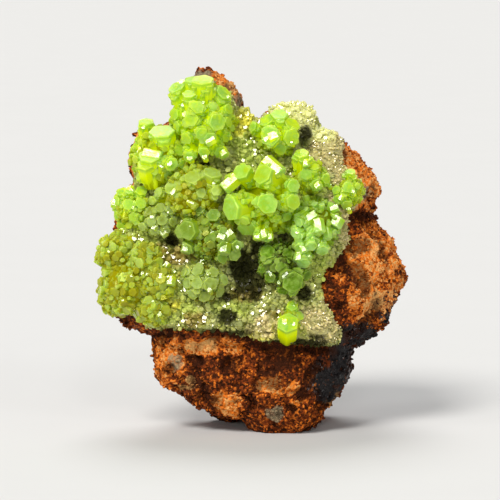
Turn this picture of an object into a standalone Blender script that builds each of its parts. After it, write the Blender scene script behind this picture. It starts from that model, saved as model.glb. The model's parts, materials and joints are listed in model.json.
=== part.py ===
"""A pyromorphite specimen: clusters of green hexagonal crystals on a rusty limonite matrix.

The specimen is drawn in the frame of its display face, in millimetres: u runs to the right, v up
the face and w into the stone, away from the viewer. stand() leans that frame back on the feet of
the stone and gives metres, with +Z up and the viewer on the -Y side.
"""

import math
import random

import bmesh
import bpy
import numpy as np
from mathutils import Vector, noise

MM = 0.001
LEAN = math.radians(6.0)  # the display face leans back this far when the stone stands on its feet
SIDE_SHIFT = 0.5  # these two bring the middle of the whole specimen over the origin
DEPTH_SHIFT = 1.7
GAP = 0.3  # between two pieces that touch

# The stone: its outline seen square on, as points (u, v) clockwise from the tip.
STONE_MIDDLE = (0.0, 34.9)
STONE_OUTLINE = [
    (-8.1, 69.9), (-3.8, 66.4), (-2.1, 64.1), (-1.3, 61.8), (0.4, 59.7), (3.1, 60.7), (6.3, 62.6),
    (9.6, 62.6), (11.9, 61.2), (13.1, 58.0), (17.5, 55.9), (21.0, 52.2), (24.2, 47.8), (25.2, 46.2),
    (23.8, 44.5), (23.3, 42.2), (24.2, 39.5), (27.1, 36.4), (27.1, 34.5), (28.7, 32.4), (29.4, 29.7),
    (28.3, 27.8), (28.3, 25.3), (26.7, 23.6), (26.3, 21.4), (24.0, 19.9), (19.4, 16.2), (18.7, 13.8),
    (18.8, 11.6), (17.7, 8.8), (16.5, 5.7), (14.8, 4.1), (13.3, 2.0), (11.2, 0.5), (9.0, -0.1),
    (5.2, -0.3), (2.3, 0.1), (-0.2, 1.2), (-1.9, 2.6), (-4.2, 1.6), (-6.9, 2.4), (-9.0, 3.8),
    (-11.3, 5.3), (-12.7, 7.6), (-15.2, 8.9), (-17.3, 10.5), (-18.1, 13.4), (-18.1, 16.6),
    (-18.3, 18.6), (-21.0, 19.9), (-23.8, 21.4), (-26.3, 23.6), (-27.1, 29.1), (-26.3, 35.9),
    (-25.4, 39.7), (-24.8, 44.5), (-22.3, 47.8), (-22.3, 54.1), (-21.7, 57.2), (-17.3, 57.8),
    (-14.6, 59.7), (-14.2, 63.8), (-11.5, 67.2), (-9.8, 69.1),
]
STONE_SPREAD = 1.015  # the stone's edge lies further back than the crystals, so it looks smaller
SHARE_LIMIT = 0.97  # the front's depth is not asked for beyond this share of the way to the edge
STONE_CELLS = 20  # squares along each side of the grid that is wrapped over each face
MIDDLE_SLOPE_U = 0.03  # how fast the middle plane goes back to the right, and up the face
MIDDLE_SLOPE_V = 0.06
FRONT_BULGE = 11.5  # from the middle plane to the front, where the crystals grow
BACK_BULGE = 14.5  # from the middle plane to the broken back
BACK_SLOPE_U = 0.24  # the back is thicker to the right, and thinner up the face
BACK_SLOPE_V = -0.05
FACE_POWER = 2.8  # how square the section of the stone is: 2 is an ellipse
BASE_POWER = 9.0  # the same below, at the back, where the stone stands broad
LEDGE_HEIGHT = 17.0  # below this the stone is bare, and stands back under the crust
LEDGE_SOFTNESS = 1.2
LEDGE_STEP = 2.4
CROWN_HEIGHTS = (52.0, 64.0)  # between these the stone gets thinner towards its tip
CROWN_THINNING = 3.2
SWELLINGS = [  # (u, v, radius, height) on the front: the bare shoulder, then the dark hollows
    (22.0, 29.0, 7.0, 1.2),
    (-1.3, 30.7, 3.3, -3.5),
    (-14.8, 36.2, 1.9, -2.5),
    (-8.7, 50.9, 1.9, -2.5),
]
KNOB_SIZE = 7.5  # the knobs of the broken limonite
KNOB_HEIGHT = 2.2
KNOB_LEVEL = 0.7  # how far from a knob's middle, in knob sizes, its side is level with the stone
SWELL_SIZE = 12.0
SWELL_HEIGHT = 1.7
EDGE_CALM = 0.6  # how much of the relief is taken away at the outline
COVERED_RELIEF = 0.15  # the share of the relief that is left under the crust
BASE_DIRECTIONS = (0.55, 0.95)  # downward shares of a direction between which the base begins
BASE_HEIGHTS = (2.0, 9.0)  # between these the underside turns into the sides
UNDERSIDE_RISE = 1.2  # the underside is hollow between the feet
FEET = [  # (u, w, radius, drop) of the lumps that the stone stands on
    (3.2, -1.0, 3.8, 2.8),
    (8.8, -0.5, 3.8, 2.6),
    (-5.0, 12.5, 3.6, 4.4),
    (9.5, 13.0, 4.5, 3.2),
]

# The crust of small crystals that coats the front of the stone.
CRUST_MIDDLE = (-1.9, 38.8)
CRUST_OUTLINE = [
    (-8.7, 68.0), (-4.0, 65.5), (-3.5, 62.6), (0.4, 60.1), (3.5, 61.6), (6.3, 63.8), (9.6, 63.6),
    (12.5, 61.8), (13.1, 58.2), (15.6, 57.8), (17.7, 55.7), (17.3, 51.2), (19.2, 49.5), (21.9, 46.4),
    (20.4, 43.8), (18.8, 41.8), (18.5, 39.1), (19.2, 36.8), (16.9, 33.4), (14.2, 31.1), (13.5, 27.6),
    (14.6, 24.3), (17.5, 19.1), (16.5, 16.4), (11.5, 16.8), (6.7, 17.4), (2.3, 18.0), (-1.9, 18.8),
    (-5.4, 19.9), (-13.5, 19.9), (-17.3, 19.7), (-20.6, 20.7), (-21.9, 23.6), (-24.6, 24.1),
    (-27.1, 23.6), (-28.3, 26.1), (-28.6, 32.6), (-27.7, 36.2), (-26.3, 39.1), (-26.5, 43.0),
    (-25.0, 46.1), (-22.3, 48.4), (-21.3, 51.2), (-21.3, 56.1), (-21.0, 59.1), (-19.2, 59.9),
    (-15.8, 58.0), (-15.0, 61.4), (-15.4, 64.5), (-13.3, 66.4), (-11.2, 67.6),
]
CRUST_CELLS = 14
CRUST_REACH = 0.965  # the most of the way to the stone's edge that the crust goes
CRUST_THICKNESS = 1.4
CRUST_ROOT = 2.0  # how far the crust reaches into the stone before it is cut back
CRUST_EDGE_POWER = 10.0
SLOPE_STEP = 2.0
CRUST_DOMES = [  # (u, v, radius, height) of the swellings of the crust
    (8.8, 60.7, 4.6, 3.0),
    (15.4, 55.1, 2.9, 2.0),
    (13.8, 20.5, 3.5, 1.6),
    (2.3, 21.1, 2.9, 1.6),
    (-1.9, 23.0, 2.2, 1.2),
    (-1.9, 59.1, 2.7, 1.0),
    (18.3, 48.4, 3.1, 1.4),
]
SPROUT_COUNT = 8  # small crystals on the crust where no cluster stands
SPROUT_RADII = (0.5, 0.85)
SPROUT_HEIGHTS = (0.7, 1.5)
SPROUT_LENGTH = 2.6
SPROUT_LEAN = 0.7
SPROUT_REACH = 0.8  # of the crust's area, from its middle outwards
SPROUT_SEED = 5
NEAR_STEPS = 8  # a crystal's distance from others is measured at this many places along it

# The clusters. Each crystal is (u, v, w, radius) at the middle of its end face and grows out from
# the cluster's root. One that doesn't fan out from there also has (lean_u, lean_v): how far its end
# leans to the right and up for each millimetre that it grows towards the viewer.
CLUSTERS = {
    "centre_cluster": {
        "root": (2.7, 43.2, -8.0),
        "crystals": [
            (-3.8, 42.7, -19.0, 2.7, -1.3, -0.1), (3.2, 43.6, -22.5, 2.1),
            (2.3, 49.3, -20.5, 2.4, -0.75, 0.5), (-1.7, 49.8, -18.0, 1.7, -0.5, 0.6),
            (8.3, 47.0, -19.5, 1.4, 0.5, 0.3), (8.2, 44.0, -20.5, 1.6, 0.45, 0.0),
            (-4.2, 47.4, -17.5, 1.1, -0.9, -0.5), (-0.6, 38.9, -17.0, 1.9, -0.2, -0.9),
            (1.4, 37.4, -17.5, 0.9, -0.2, -0.9), (3.3, 36.9, -17.0, 1.0, 0.1, -1.0),
            (5.1, 40.8, -18.0, 1.0), (7.1, 41.2, -16.5, 1.0, 0.4, -0.3),
        ],
    },
    "crown_cluster": {
        "root": (-9.0, 59.0, -6.0),
        "crystals": [
            (-14.0, 66.2, -12.0, 2.0, -0.6, 1.4), (-9.0, 67.4, -13.5, 2.4, 0.0, 1.9),
            (-4.9, 65.0, -12.0, 1.9, 0.9, 1.0), (-11.6, 64.6, -15.0, 1.3, -0.1, 1.2),
            (-9.9, 61.9, -18.0, 1.5, 0.0, 0.3), (-7.0, 62.2, -17.0, 1.0, 0.2, 0.4),
            (-6.1, 59.1, -18.0, 1.8), (-11.2, 59.7, -17.5, 1.6),
            (-14.5, 60.8, -13.0, 1.3, -1.2, 0.2), (-4.0, 61.8, -13.0, 1.3, 1.0, 0.2),
            (-4.0, 59.3, -13.5, 1.1), (-12.2, 56.0, -16.0, 1.4), (-14.2, 58.4, -13.0, 1.2),
            (-9.2, 56.8, -18.0, 1.3), (-7.5, 55.9, -17.5, 1.3), (-4.4, 56.4, -14.5, 1.2),
            (-5.7, 53.4, -15.0, 1.3, 0.5, -0.7), (-8.7, 53.3, -16.5, 1.2, 0.0, -0.7),
            (-11.6, 52.5, -15.5, 1.2, -0.2, -0.6),
        ],
    },
    "spray_cluster": {
        "root": (12.0, 39.5, -8.0),
        "crystals": [
            (9.1, 40.1, -18.0, 1.1, -0.9, -0.6), (8.5, 38.0, -17.5, 1.2, -0.9, -0.4),
            (12.6, 38.2, -18.5, 1.0, 0.0, -0.9), (13.8, 34.7, -16.5, 1.3, 0.15, -1.0),
            (10.1, 32.3, -16.5, 1.6, -0.1, -1.0), (11.6, 35.6, -18.0, 1.3, 0.0, -0.8),
            (9.4, 35.2, -17.0, 1.2, -0.4, -0.9), (15.3, 40.1, -14.5, 1.2, 0.9, 0.1),
            (14.9, 42.0, -14.0, 1.1, 0.7, 0.6), (11.3, 42.2, -16.0, 1.1, -0.2, 0.8),
        ],
    },
    "lower_spray_cluster": {
        "root": (5.8, 32.6, -8.0),
        "crystals": [
            (3.3, 34.6, -16.0, 1.8, -0.3, 0.6), (7.2, 34.3, -16.0, 1.2, 0.2, 0.5),
            (8.1, 28.8, -18.0, 2.1, 0.2, -0.3), (3.8, 29.6, -15.5, 1.2, -0.4, -0.5),
            (11.0, 30.0, -14.5, 1.1, 0.8, -0.3), (2.3, 31.4, -14.5, 1.2, -0.8, 0.0),
            (5.9, 31.6, -17.0, 1.3), (6.2, 27.0, -14.5, 1.1, 0.0, -0.8),
        ],
    },
    "inner_cluster": {
        "root": (-7.3, 37.8, -8.0),
        "crystals": [
            (-12.0, 38.7, -17.0, 2.0, -0.7, -0.1), (-12.1, 42.2, -15.0, 1.1, -0.6, 0.6),
            (-9.5, 42.7, -16.0, 1.2, -0.3, 0.7), (-6.9, 41.6, -16.5, 1.3, 0.0, 0.4),
            (-8.7, 39.7, -16.5, 1.2), (-7.5, 37.0, -17.5, 1.3),
            (-12.0, 35.1, -15.5, 1.2, -0.5, -0.5), (-5.1, 35.7, -18.0, 1.0, 0.1, -0.3),
            (-2.4, 35.7, -17.0, 1.2, 0.5, -0.2), (-2.8, 33.9, -16.0, 1.3, 0.4, -0.4),
            (-5.3, 33.3, -16.0, 1.2, 0.0, -0.5), (-5.0, 38.4, -17.5, 1.1),
        ],
    },
    "shoulder_cluster": {
        "root": (-17.3, 52.6, -4.0),
        "crystals": [
            (-19.9, 59.6, -9.5, 1.6, 0.0, 2.0), (-16.9, 57.6, -13.0, 2.6, -0.2, 1.7),
            (-21.2, 55.6, -9.0, 1.2, -0.6, 1.2), (-19.0, 52.9, -15.0, 2.4, -0.1, 1.3),
            (-21.4, 51.0, -10.0, 1.2, -0.8, 0.3), (-14.9, 51.1, -16.0, 1.4, 0.2, -0.2),
            (-18.1, 49.1, -13.5, 1.4, -0.1, -0.5), (-15.4, 48.9, -13.5, 1.2, 0.2, -0.5),
            (-13.5, 54.0, -13.0, 1.2, 0.5, 0.3), (-12.7, 51.2, -13.0, 1.0, 0.7, -0.1),
        ],
    },
    "arch_cluster": {
        "root": (-11.2, 45.7, -7.0),
        "crystals": [
            (-11.0, 48.8, -17.0, 1.8, -0.2, 0.8), (-7.2, 49.7, -16.0, 1.8, 0.3, 1.4),
            (-6.3, 46.2, -17.5, 1.2, 0.4, 0.1), (-9.2, 45.7, -17.0, 1.2),
            (-15.0, 46.8, -15.5, 1.5, -0.5, 0.4), (-17.6, 45.9, -13.5, 1.1, -0.9, 0.2),
            (-12.9, 45.0, -15.5, 1.1), (-18.8, 44.3, -13.0, 1.0, -0.9, -0.1),
        ],
    },
    "upper_cluster": {
        "root": (5.4, 56.1, -7.0),
        "crystals": [
            (3.1, 59.8, -13.0, 1.6, -0.5, 0.9), (5.6, 60.9, -13.5, 1.7, -0.1, 1.2),
            (8.1, 58.9, -14.0, 1.6, 0.5, 0.7), (7.9, 56.3, -15.5, 1.8, 0.4, -0.1),
            (3.8, 56.5, -16.5, 1.9, -0.3, 0.1), (5.8, 54.0, -15.0, 1.2, 0.1, -0.5),
            (0.4, 58.4, -11.5, 1.0, -0.9, 0.4),
        ],
    },
    "right_shoulder_cluster": {
        "root": (11.2, 48.8, -8.0),
        "crystals": [
            (9.8, 53.4, -15.0, 1.6, -0.1, 1.4), (12.1, 50.9, -14.5, 1.3, 0.3, 1.0),
            (10.6, 49.3, -15.5, 1.2), (12.6, 47.3, -14.5, 1.2, 0.7, -0.5),
            (14.6, 48.5, -13.0, 1.1, 0.9, 0.1),
        ],
    },
    "edge_sprig": {
        "root": (18.7, 46.1, -6.0),
        "crystals": [
            (19.3, 50.0, -11.0, 1.1, 0.1, 1.3), (18.7, 46.9, -13.0, 1.3, 0.0, 0.4),
            (19.9, 45.7, -11.5, 1.1, 0.6, 0.0), (16.7, 44.5, -12.5, 1.1, -0.5, -0.2),
            (18.5, 43.4, -11.5, 1.2, 0.1, -0.8), (16.4, 46.4, -12.0, 1.0, -0.6, 0.3),
        ],
    },
    "lone_barrel": {
        "root": (7.5, 21.6, -7.5),
        "crystals": [
            (7.1, 21.2, -17.0, 2.2, 0.0, 0.55), (8.1, 24.4, -14.5, 1.2, 0.1, 0.6),
            (9.6, 22.4, -14.0, 1.0, 0.7, 0.4),
        ],
    },
    "left_rosette": {
        "root": (-21.8, 42.2, -4.0),
        "crystals": [
            (-26.0, 44.0, -9.0, 1.4, -1.2, 0.4), (-24.6, 46.2, -10.0, 1.1, -0.6, 0.9),
            (-23.0, 46.3, -11.5, 1.0, 0.0, 1.0), (-20.7, 46.3, -11.5, 1.3, 0.3, 0.8),
            (-23.3, 43.6, -13.0, 1.2), (-20.8, 43.8, -13.0, 1.2),
            (-25.4, 41.4, -9.5, 1.2, -0.9, -0.3), (-24.8, 39.3, -9.5, 1.1, -0.7, -0.7),
            (-22.3, 41.1, -13.0, 1.1),
        ],
    },
    "mid_left_cluster": {
        "root": (-17.3, 40.5, -7.0),
        "crystals": [
            (-19.2, 42.4, -14.0, 1.0), (-17.1, 43.0, -14.5, 1.1), (-15.0, 42.6, -14.5, 1.2),
            (-18.8, 40.3, -15.0, 1.1), (-16.7, 40.5, -15.5, 1.1), (-14.6, 40.3, -14.5, 1.0),
            (-20.6, 39.3, -14.0, 1.0), (-18.3, 38.4, -14.5, 1.0), (-16.0, 38.4, -14.5, 1.0),
        ],
    },
    "lower_rosette": {
        "root": (-8.5, 28.4, -8.5),
        "crystals": [
            (-10.0, 28.6, -18.0, 1.4), (-7.5, 28.4, -18.0, 1.3), (-12.1, 28.6, -15.5, 1.2),
            (-10.0, 31.1, -16.5, 1.3), (-6.9, 30.7, -16.5, 1.3), (-4.8, 29.3, -15.0, 1.2),
            (-5.6, 26.8, -15.0, 1.2), (-8.5, 26.1, -16.5, 1.2), (-11.0, 26.4, -15.5, 1.2),
            (-12.7, 30.7, -14.5, 1.1),
        ],
    },
}
BOTRYOID_DOMES = [  # (u, v, radius, height) of the rounded lumps at the lower left, above the crust
    (-23.0, 28.0, 4.9, 4.4),
    (-24.6, 33.8, 4.2, 3.6),
    (-25.3, 26.2, 3.4, 2.6),
    (-20.3, 33.0, 3.2, 3.0),
    (-17.6, 28.6, 3.4, 3.0),
    (-18.6, 24.0, 3.1, 2.8),
]
DOME_CRYSTALS = 5  # on each lump
DOME_CRYSTAL_RADII = (0.85, 1.25)
DOME_CRYSTAL_REACH = (1.0, 1.12)  # how far out they end, in radii of the lump
DOME_OPENING = 0.85  # they stand around the lump until only 0.15 of their aim is outwards
DOME_SEED = 11
FAN_DEPTH = 0.5  # how far back a fanned crystal's foot lies, as a share of the way to the root
LEANED_LENGTH = 7.0  # the most for a crystal that leans its own way
HUB_SHARE = 0.62  # the lump under a cluster, as a share of how far its crystals spread
ROUND_LUMP = 4.5  # lumps from this radius on are built from smaller triangles

# The form of a crystal, as shares of its radius.
BARREL_RADIUS = 1.6  # crystals from this size on have a barrel body and a chamfered end
BARREL_LENGTH = 2.6
BARREL_WAIST = 0.92
BARREL_SHARE = 0.75  # of its whole length, the most that the barrel takes
FOOT_WIDTH = 0.7
END_CHAMFER = 0.15
CORNER_GROWTH = 1 / math.cos(math.pi / 6)  # a side that moves out by 1 moves its corners by this
GOLDEN_ANGLE = math.pi * (3 - math.sqrt(5))
TWIST_SEED = 3

# The finishes.
RUST_COLOUR = (0.42, 0.17, 0.05)
RUST_ROUGHNESS = 0.9
CRUST_COLOUR = (0.45, 0.48, 0.16)
CRUST_ROUGHNESS = 0.45
CRYSTAL_COLOUR = (0.38, 0.62, 0.05)
CRYSTAL_ROUGHNESS = 0.3


def stand(u, v, w):
    """A point of the display face's frame as the standing specimen has it, in metres."""
    y = w * math.cos(LEAN) + v * math.sin(LEAN) - DEPTH_SHIFT
    z = v * math.cos(LEAN) - w * math.sin(LEAN)
    return Vector((u - SIDE_SHIFT, y, z)) * MM


def polar(outline, middle, spread=1.0):
    """The outline as angles and radii about its middle, ready for a periodic look-up."""
    offsets = (np.array(outline) - np.array(middle)) * spread
    angles = np.arctan2(offsets[:, 1], offsets[:, 0])
    order = np.argsort(angles)
    return angles[order], np.hypot(offsets[:, 0], offsets[:, 1])[order]


STONE_RIM = polar(STONE_OUTLINE, STONE_MIDDLE, STONE_SPREAD)
CRUST_RIM = polar(CRUST_OUTLINE, CRUST_MIDDLE)


def rim_radius(rim, angle):
    return np.interp(angle, rim[0], rim[1], period=2 * math.pi)


def share_of_rim(rim, middle, u, v):
    """0 at the middle and 1 on the outline."""
    offset_u, offset_v = u - middle[0], v - middle[1]
    angle = np.arctan2(offset_v, offset_u)
    return np.hypot(offset_u, offset_v) / rim_radius(rim, angle)


def smooth_step(low, high, value):
    share = np.clip((value - low) / (high - low), 0.0, 1.0)
    return share * share * (3 - 2 * share)


def mound(u, v, at_u, at_v, radius):
    """A round swelling: 1 at its top and 0 well outside its radius."""
    return np.exp(-((u - at_u) ** 2 + (v - at_v) ** 2) / radius**2)


def middle_plane(u, v):
    """The depth of the surface that parts the front of the stone from its back."""
    return MIDDLE_SLOPE_V * (v - STONE_MIDDLE[1]) + MIDDLE_SLOPE_U * u


def front_bulge(u, v):
    """How far the front stands out from the middle plane."""
    above_ledge = smooth_step(LEDGE_HEIGHT - LEDGE_SOFTNESS, LEDGE_HEIGHT + LEDGE_SOFTNESS, v)
    bulge = FRONT_BULGE - LEDGE_STEP * (1 - above_ledge)
    bulge = bulge - CROWN_THINNING * smooth_step(*CROWN_HEIGHTS, v)
    for at_u, at_v, radius, height in SWELLINGS:
        bulge = bulge + height * mound(u, v, at_u, at_v, radius)
    return bulge


def back_bulge(u, v):
    """How far the back stands out from the middle plane."""
    return BACK_BULGE + BACK_SLOPE_U * u + BACK_SLOPE_V * (v - STONE_MIDDLE[1])


def front_depth(u, v):
    """The depth of the stone's front before it is roughened."""
    share = np.minimum(share_of_rim(STONE_RIM, STONE_MIDDLE, u, v), SHARE_LIMIT)
    return middle_plane(u, v) - front_bulge(u, v) * (1 - share**FACE_POWER) ** (1 / FACE_POWER)


def disc_grid(cells):
    """A square grid pressed into a disc: each point's distance from the middle, and its angle."""
    steps = np.linspace(-1.0, 1.0, cells + 1)
    across, up = np.meshgrid(steps, steps)
    x = across * np.sqrt(1 - up**2 / 2)
    y = up * np.sqrt(1 - across**2 / 2)
    return np.hypot(x, y), np.arctan2(y, x)


def triangles(numbers):
    """Two triangles to each square of a grid of point numbers, parted along lines from the middle.

    A square of the grid can be bent, and a Boolean would split it one way and the export another.
    """
    low_left, low_right = numbers[:-1, :-1], numbers[:-1, 1:]
    top_left, top_right = numbers[1:, :-1], numbers[1:, 1:]
    half = (len(numbers) - 1) / 2
    row, column = np.indices(low_left.shape)
    rising = ((row < half) == (column < half))[..., None]
    first = np.where(
        rising,
        np.stack([low_left, low_right, top_right], -1),
        np.stack([low_left, low_right, top_left], -1),
    )
    second = np.where(
        rising,
        np.stack([low_left, top_right, top_left], -1),
        np.stack([low_right, top_right, top_left], -1),
    )
    return np.concatenate([first.reshape(-1, 3), second.reshape(-1, 3)])


def two_sided(front, back):
    """Points and triangles of a closed body from two grids of points that share their rim."""
    rows = front.shape[0]
    numbers = np.arange(rows * rows).reshape(rows, rows)
    back_numbers = numbers.copy()
    inside = (slice(1, -1), slice(1, -1))
    back_numbers[inside] = rows * rows + np.arange((rows - 2) ** 2).reshape(rows - 2, rows - 2)
    points = np.concatenate([front.reshape(-1, 3), back[inside].reshape(-1, 3)])
    return points, np.concatenate([triangles(numbers), triangles(back_numbers)[:, ::-1]])


def mesh_of(name, points, faces):
    mesh = bpy.data.meshes.new(name)
    mesh.from_pydata([tuple(p) for p in points], [], [tuple(int(i) for i in f) for f in faces])
    mesh.update()
    return mesh


def base_power(angle):
    """How square the back of the section is in that direction: broad below, rounder elsewhere."""
    below = smooth_step(*BASE_DIRECTIONS, -np.sin(angle))
    return FACE_POWER + (BASE_POWER - FACE_POWER) * below


def stone_side(distance, angle, power, bulge):
    """One face of the smooth stone, as a grid of points (u, v, w)."""
    out = np.sin(distance * math.pi / 2) ** (2 / power)
    rise = np.cos(distance * math.pi / 2).clip(0) ** (2 / power)
    radius = rim_radius(STONE_RIM, angle) * out
    u = STONE_MIDDLE[0] + radius * np.cos(angle)
    v = STONE_MIDDLE[1] + radius * np.sin(angle)
    return np.stack([u, v, middle_plane(u, v) + bulge(u, v) * rise], -1)


def stone_relief(point, on_front):
    """How far the broken surface stands out at a point of the smooth stone."""
    place = Vector(point)
    knob = KNOB_LEVEL - noise.voronoi(place / KNOB_SIZE)[0][0]
    relief = KNOB_HEIGHT * knob + SWELL_HEIGHT * noise.noise(place / SWELL_SIZE)
    at_edge = smooth_step(0.75, 1.0, share_of_rim(STONE_RIM, STONE_MIDDLE, point[0], point[1]))
    relief = relief * (1 - EDGE_CALM * at_edge)
    if not on_front:
        return relief
    bare = smooth_step(0.97, 1.12, share_of_rim(CRUST_RIM, CRUST_MIDDLE, point[0], point[1]))
    return relief * (COVERED_RELIEF + (1 - COVERED_RELIEF) * bare)


def stone_points(cells, grow=0.0):
    """The stone's points, roughened, set on its feet and cut off at the ground."""
    distance, angle = disc_grid(cells)
    even = np.full_like(angle, FACE_POWER)
    front = stone_side(distance, angle, even, lambda u, v: -front_bulge(u, v))
    back = stone_side(distance, angle, base_power(angle), back_bulge)
    points, faces = two_sided(front, back)
    smooth = mesh_of("smooth_stone", points, faces)
    normals = np.zeros(len(points) * 3, np.float32)
    smooth.vertex_normals.foreach_get("vector", normals)
    bpy.data.meshes.remove(smooth)
    normals = -normals.reshape(-1, 3)  # the faces wind the other way round in this frame
    relief = [stone_relief(p, n[2] < 0.1) + grow for p, n in zip(points, normals)]
    points = points + normals * np.array(relief)[:, None]
    low = 1 - smooth_step(*BASE_HEIGHTS, points[:, 1])
    points[:, 1] += UNDERSIDE_RISE * low
    for at_u, at_w, radius, drop in FEET:
        points[:, 1] -= drop * low * mound(points[:, 0], points[:, 2], at_u, at_w, radius)
    placed = np.array([stand(*p) for p in points])
    placed[:, 2] = np.maximum(placed[:, 2], -grow * MM)
    return placed, faces


def crust_radius(angle):
    """How far the crust reaches from its middle: to its outline, but not beyond the stone."""
    reach = rim_radius(CRUST_RIM, angle)
    for _ in range(4):
        u = CRUST_MIDDLE[0] + reach * np.cos(angle)
        v = CRUST_MIDDLE[1] + reach * np.sin(angle)
        share = share_of_rim(STONE_RIM, STONE_MIDDLE, u, v)
        reach = reach * np.minimum(1.0, CRUST_REACH / share)
    return reach


def front_normals(u, v):
    """The directions straight out of the stone's front, as points (u, v, w) of length 1."""
    slope_u = (front_depth(u + SLOPE_STEP, v) - front_depth(u - SLOPE_STEP, v)) / (2 * SLOPE_STEP)
    slope_v = (front_depth(u, v + SLOPE_STEP) - front_depth(u, v - SLOPE_STEP)) / (2 * SLOPE_STEP)
    normals = np.stack([slope_u, slope_v, -np.ones_like(u)], -1)
    return normals / np.linalg.norm(normals, axis=-1, keepdims=True)


def crust_swelling(u, v):
    return sum(height * mound(u, v, *place) for *place, height in CRUST_DOMES)


def crust_points(grow=0.0):
    """The crust as a lens of the front's own form, whose thin rim dips into the stone."""
    distance, angle = disc_grid(CRUST_CELLS)
    radius = crust_radius(angle) * np.sin(distance * math.pi / 2)
    u = CRUST_MIDDLE[0] + radius * np.cos(angle)
    v = CRUST_MIDDLE[1] + radius * np.sin(angle)
    surface = np.stack([u, v, front_depth(u, v)], -1)
    normals = front_normals(u, v)
    full = 1 - distance**CRUST_EDGE_POWER
    out = (CRUST_THICKNESS + CRUST_ROOT + crust_swelling(u, v)) * full - CRUST_ROOT + grow
    sideways = np.stack([np.cos(angle), np.sin(angle), np.zeros_like(angle)], -1)
    surface = surface + sideways * (grow * (1 - full))[..., None]
    outer = surface + normals * out[..., None]
    inner = surface - normals * CRUST_ROOT
    points, faces = two_sided(outer, inner)
    return np.array([stand(*p) for p in points]), faces


def crystal_rings(foot, tip, radius):
    """The stations of one crystal as (point, radius), from its foot to its end face."""
    axis = tip - foot
    if radius < BARREL_RADIUS:
        return [(foot, radius * FOOT_WIDTH), (tip, radius)]
    length = axis.length
    body = min(BARREL_LENGTH * radius, BARREL_SHARE * length)
    chamfer = END_CHAMFER * radius
    return [
        (foot, radius * FOOT_WIDTH),
        (tip - axis * body / length, radius * BARREL_WAIST),
        (tip - axis * chamfer / length, radius),
        (tip, radius - chamfer),
    ]


def crystal_mesh(name, foot, tip, radius, twist, grow=0.0):
    """A six-sided prism that widens from its foot, with a chamfered flat end."""
    axis = (tip - foot).normalized()
    rings = crystal_rings(foot - axis * grow, tip + axis * grow, radius)
    rings = [(middle, ring_radius + grow * CORNER_GROWTH) for middle, ring_radius in rings]
    across = axis.orthogonal().normalized()
    aside = axis.cross(across)
    made = bmesh.new()
    loops = []
    for middle, ring_radius in rings:
        loop = []
        for corner in range(6):
            turn = twist + corner * math.pi / 3
            spoke = across * math.cos(turn) + aside * math.sin(turn)
            loop.append(made.verts.new(stand(*(middle + spoke * ring_radius))))
        loops.append(loop)
    for low, high in zip(loops, loops[1:]):
        for corner in range(6):
            following = (corner + 1) % 6
            made.faces.new([low[corner], low[following], high[following], high[corner]])
    made.faces.new(loops[0][::-1])
    made.faces.new(loops[-1])
    bmesh.ops.recalc_face_normals(made, faces=made.faces)
    mesh = bpy.data.meshes.new(name)
    made.to_mesh(mesh)
    made.free()
    return mesh


def cluster_crystals(cluster, twists):
    """(foot, tip, radius, twist) of each crystal in a cluster, in the display face's frame."""
    root = Vector(cluster["root"])
    found = []
    for u, v, w, radius, *lean in cluster["crystals"]:
        tip = Vector((u, v, w))
        depth = root.z - w
        foot = Vector((root.x, root.y, w + FAN_DEPTH * depth))
        if lean:
            back = Vector((-lean[0], -lean[1], 1.0))
            foot = tip + back * min(depth, LEANED_LENGTH / back.length)
        found.append((foot, tip, radius, twists.uniform(0, math.pi / 3)))
    return found


def dome_crystals():
    """(foot, tip, radius, twist) of the short crystals that stand all over the rounded lumps."""
    spread = random.Random(DOME_SEED)
    found = []
    for u, v, w, dome_radius in botryoid_lumps():
        middle = Vector((u, v, w))
        for number in range(DOME_CRYSTALS):
            forward = 1 - DOME_OPENING * (number + 0.5) / DOME_CRYSTALS
            turn = number * GOLDEN_ANGLE + u
            flat = math.sqrt(1 - forward**2)
            aim = Vector((flat * math.cos(turn), flat * math.sin(turn), -forward))
            tip = middle + aim * dome_radius * spread.uniform(*DOME_CRYSTAL_REACH)
            radius = spread.uniform(*DOME_CRYSTAL_RADII)
            found.append((middle, tip, radius, spread.uniform(0, math.pi / 3)))
    return found


def add_object(name, mesh, helper=False):
    made = bpy.data.objects.new(name, mesh)
    bpy.context.scene.collection.objects.link(made)
    if helper:
        made.hide_render = True
        made.display_type = "WIRE"
    return made


def add_crystals(crystals, grow=0.0):
    """A collection of helper objects, one to a crystal, for a Boolean to read."""
    group = bpy.data.collections.new("crystals")
    for number, crystal in enumerate(crystals):
        mesh = crystal_mesh(f"crystal_{number}", *crystal, grow=grow)
        group.objects.link(bpy.data.objects.new(mesh.name, mesh))
    return group


def crust_depth(u, v):
    """The depth of the crust's open side."""
    return float(front_depth(u, v)) - CRUST_THICKNESS - float(crust_swelling(u, v))


def hub(cluster):
    """The lump (u, v, w, radius) on the crust from which all the cluster's crystals rise."""
    u, v, _ = cluster["root"]
    spread = max(math.dist((u, v), crystal[:2]) for crystal in cluster["crystals"])
    return u, v, float(front_depth(u, v)) - CRUST_THICKNESS, HUB_SHARE * spread


def botryoid_lumps():
    """The rounded lumps (u, v, w, radius), sunk in the crust so that each stands at its height."""
    return [
        (u, v, crust_depth(u, v) + radius - height, radius)
        for u, v, radius, height in BOTRYOID_DOMES
    ]


def add_lumps(lumps):
    """The rounded lumps under the crystals, as low balls."""
    group = bpy.data.collections.new("lumps")
    for u, v, w, radius in lumps:
        made = bmesh.new()
        rounds = 2 if radius > ROUND_LUMP else 1
        bmesh.ops.create_icosphere(made, subdivisions=rounds, radius=radius)
        for vertex in made.verts:
            vertex.co = stand(u + vertex.co.x, v + vertex.co.y, w + vertex.co.z)
        bmesh.ops.reverse_faces(made, faces=made.faces)  # because stand() mirrors
        mesh = bpy.data.meshes.new("lump")
        made.to_mesh(mesh)
        made.free()
        group.objects.link(bpy.data.objects.new(mesh.name, mesh))
    return group


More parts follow.
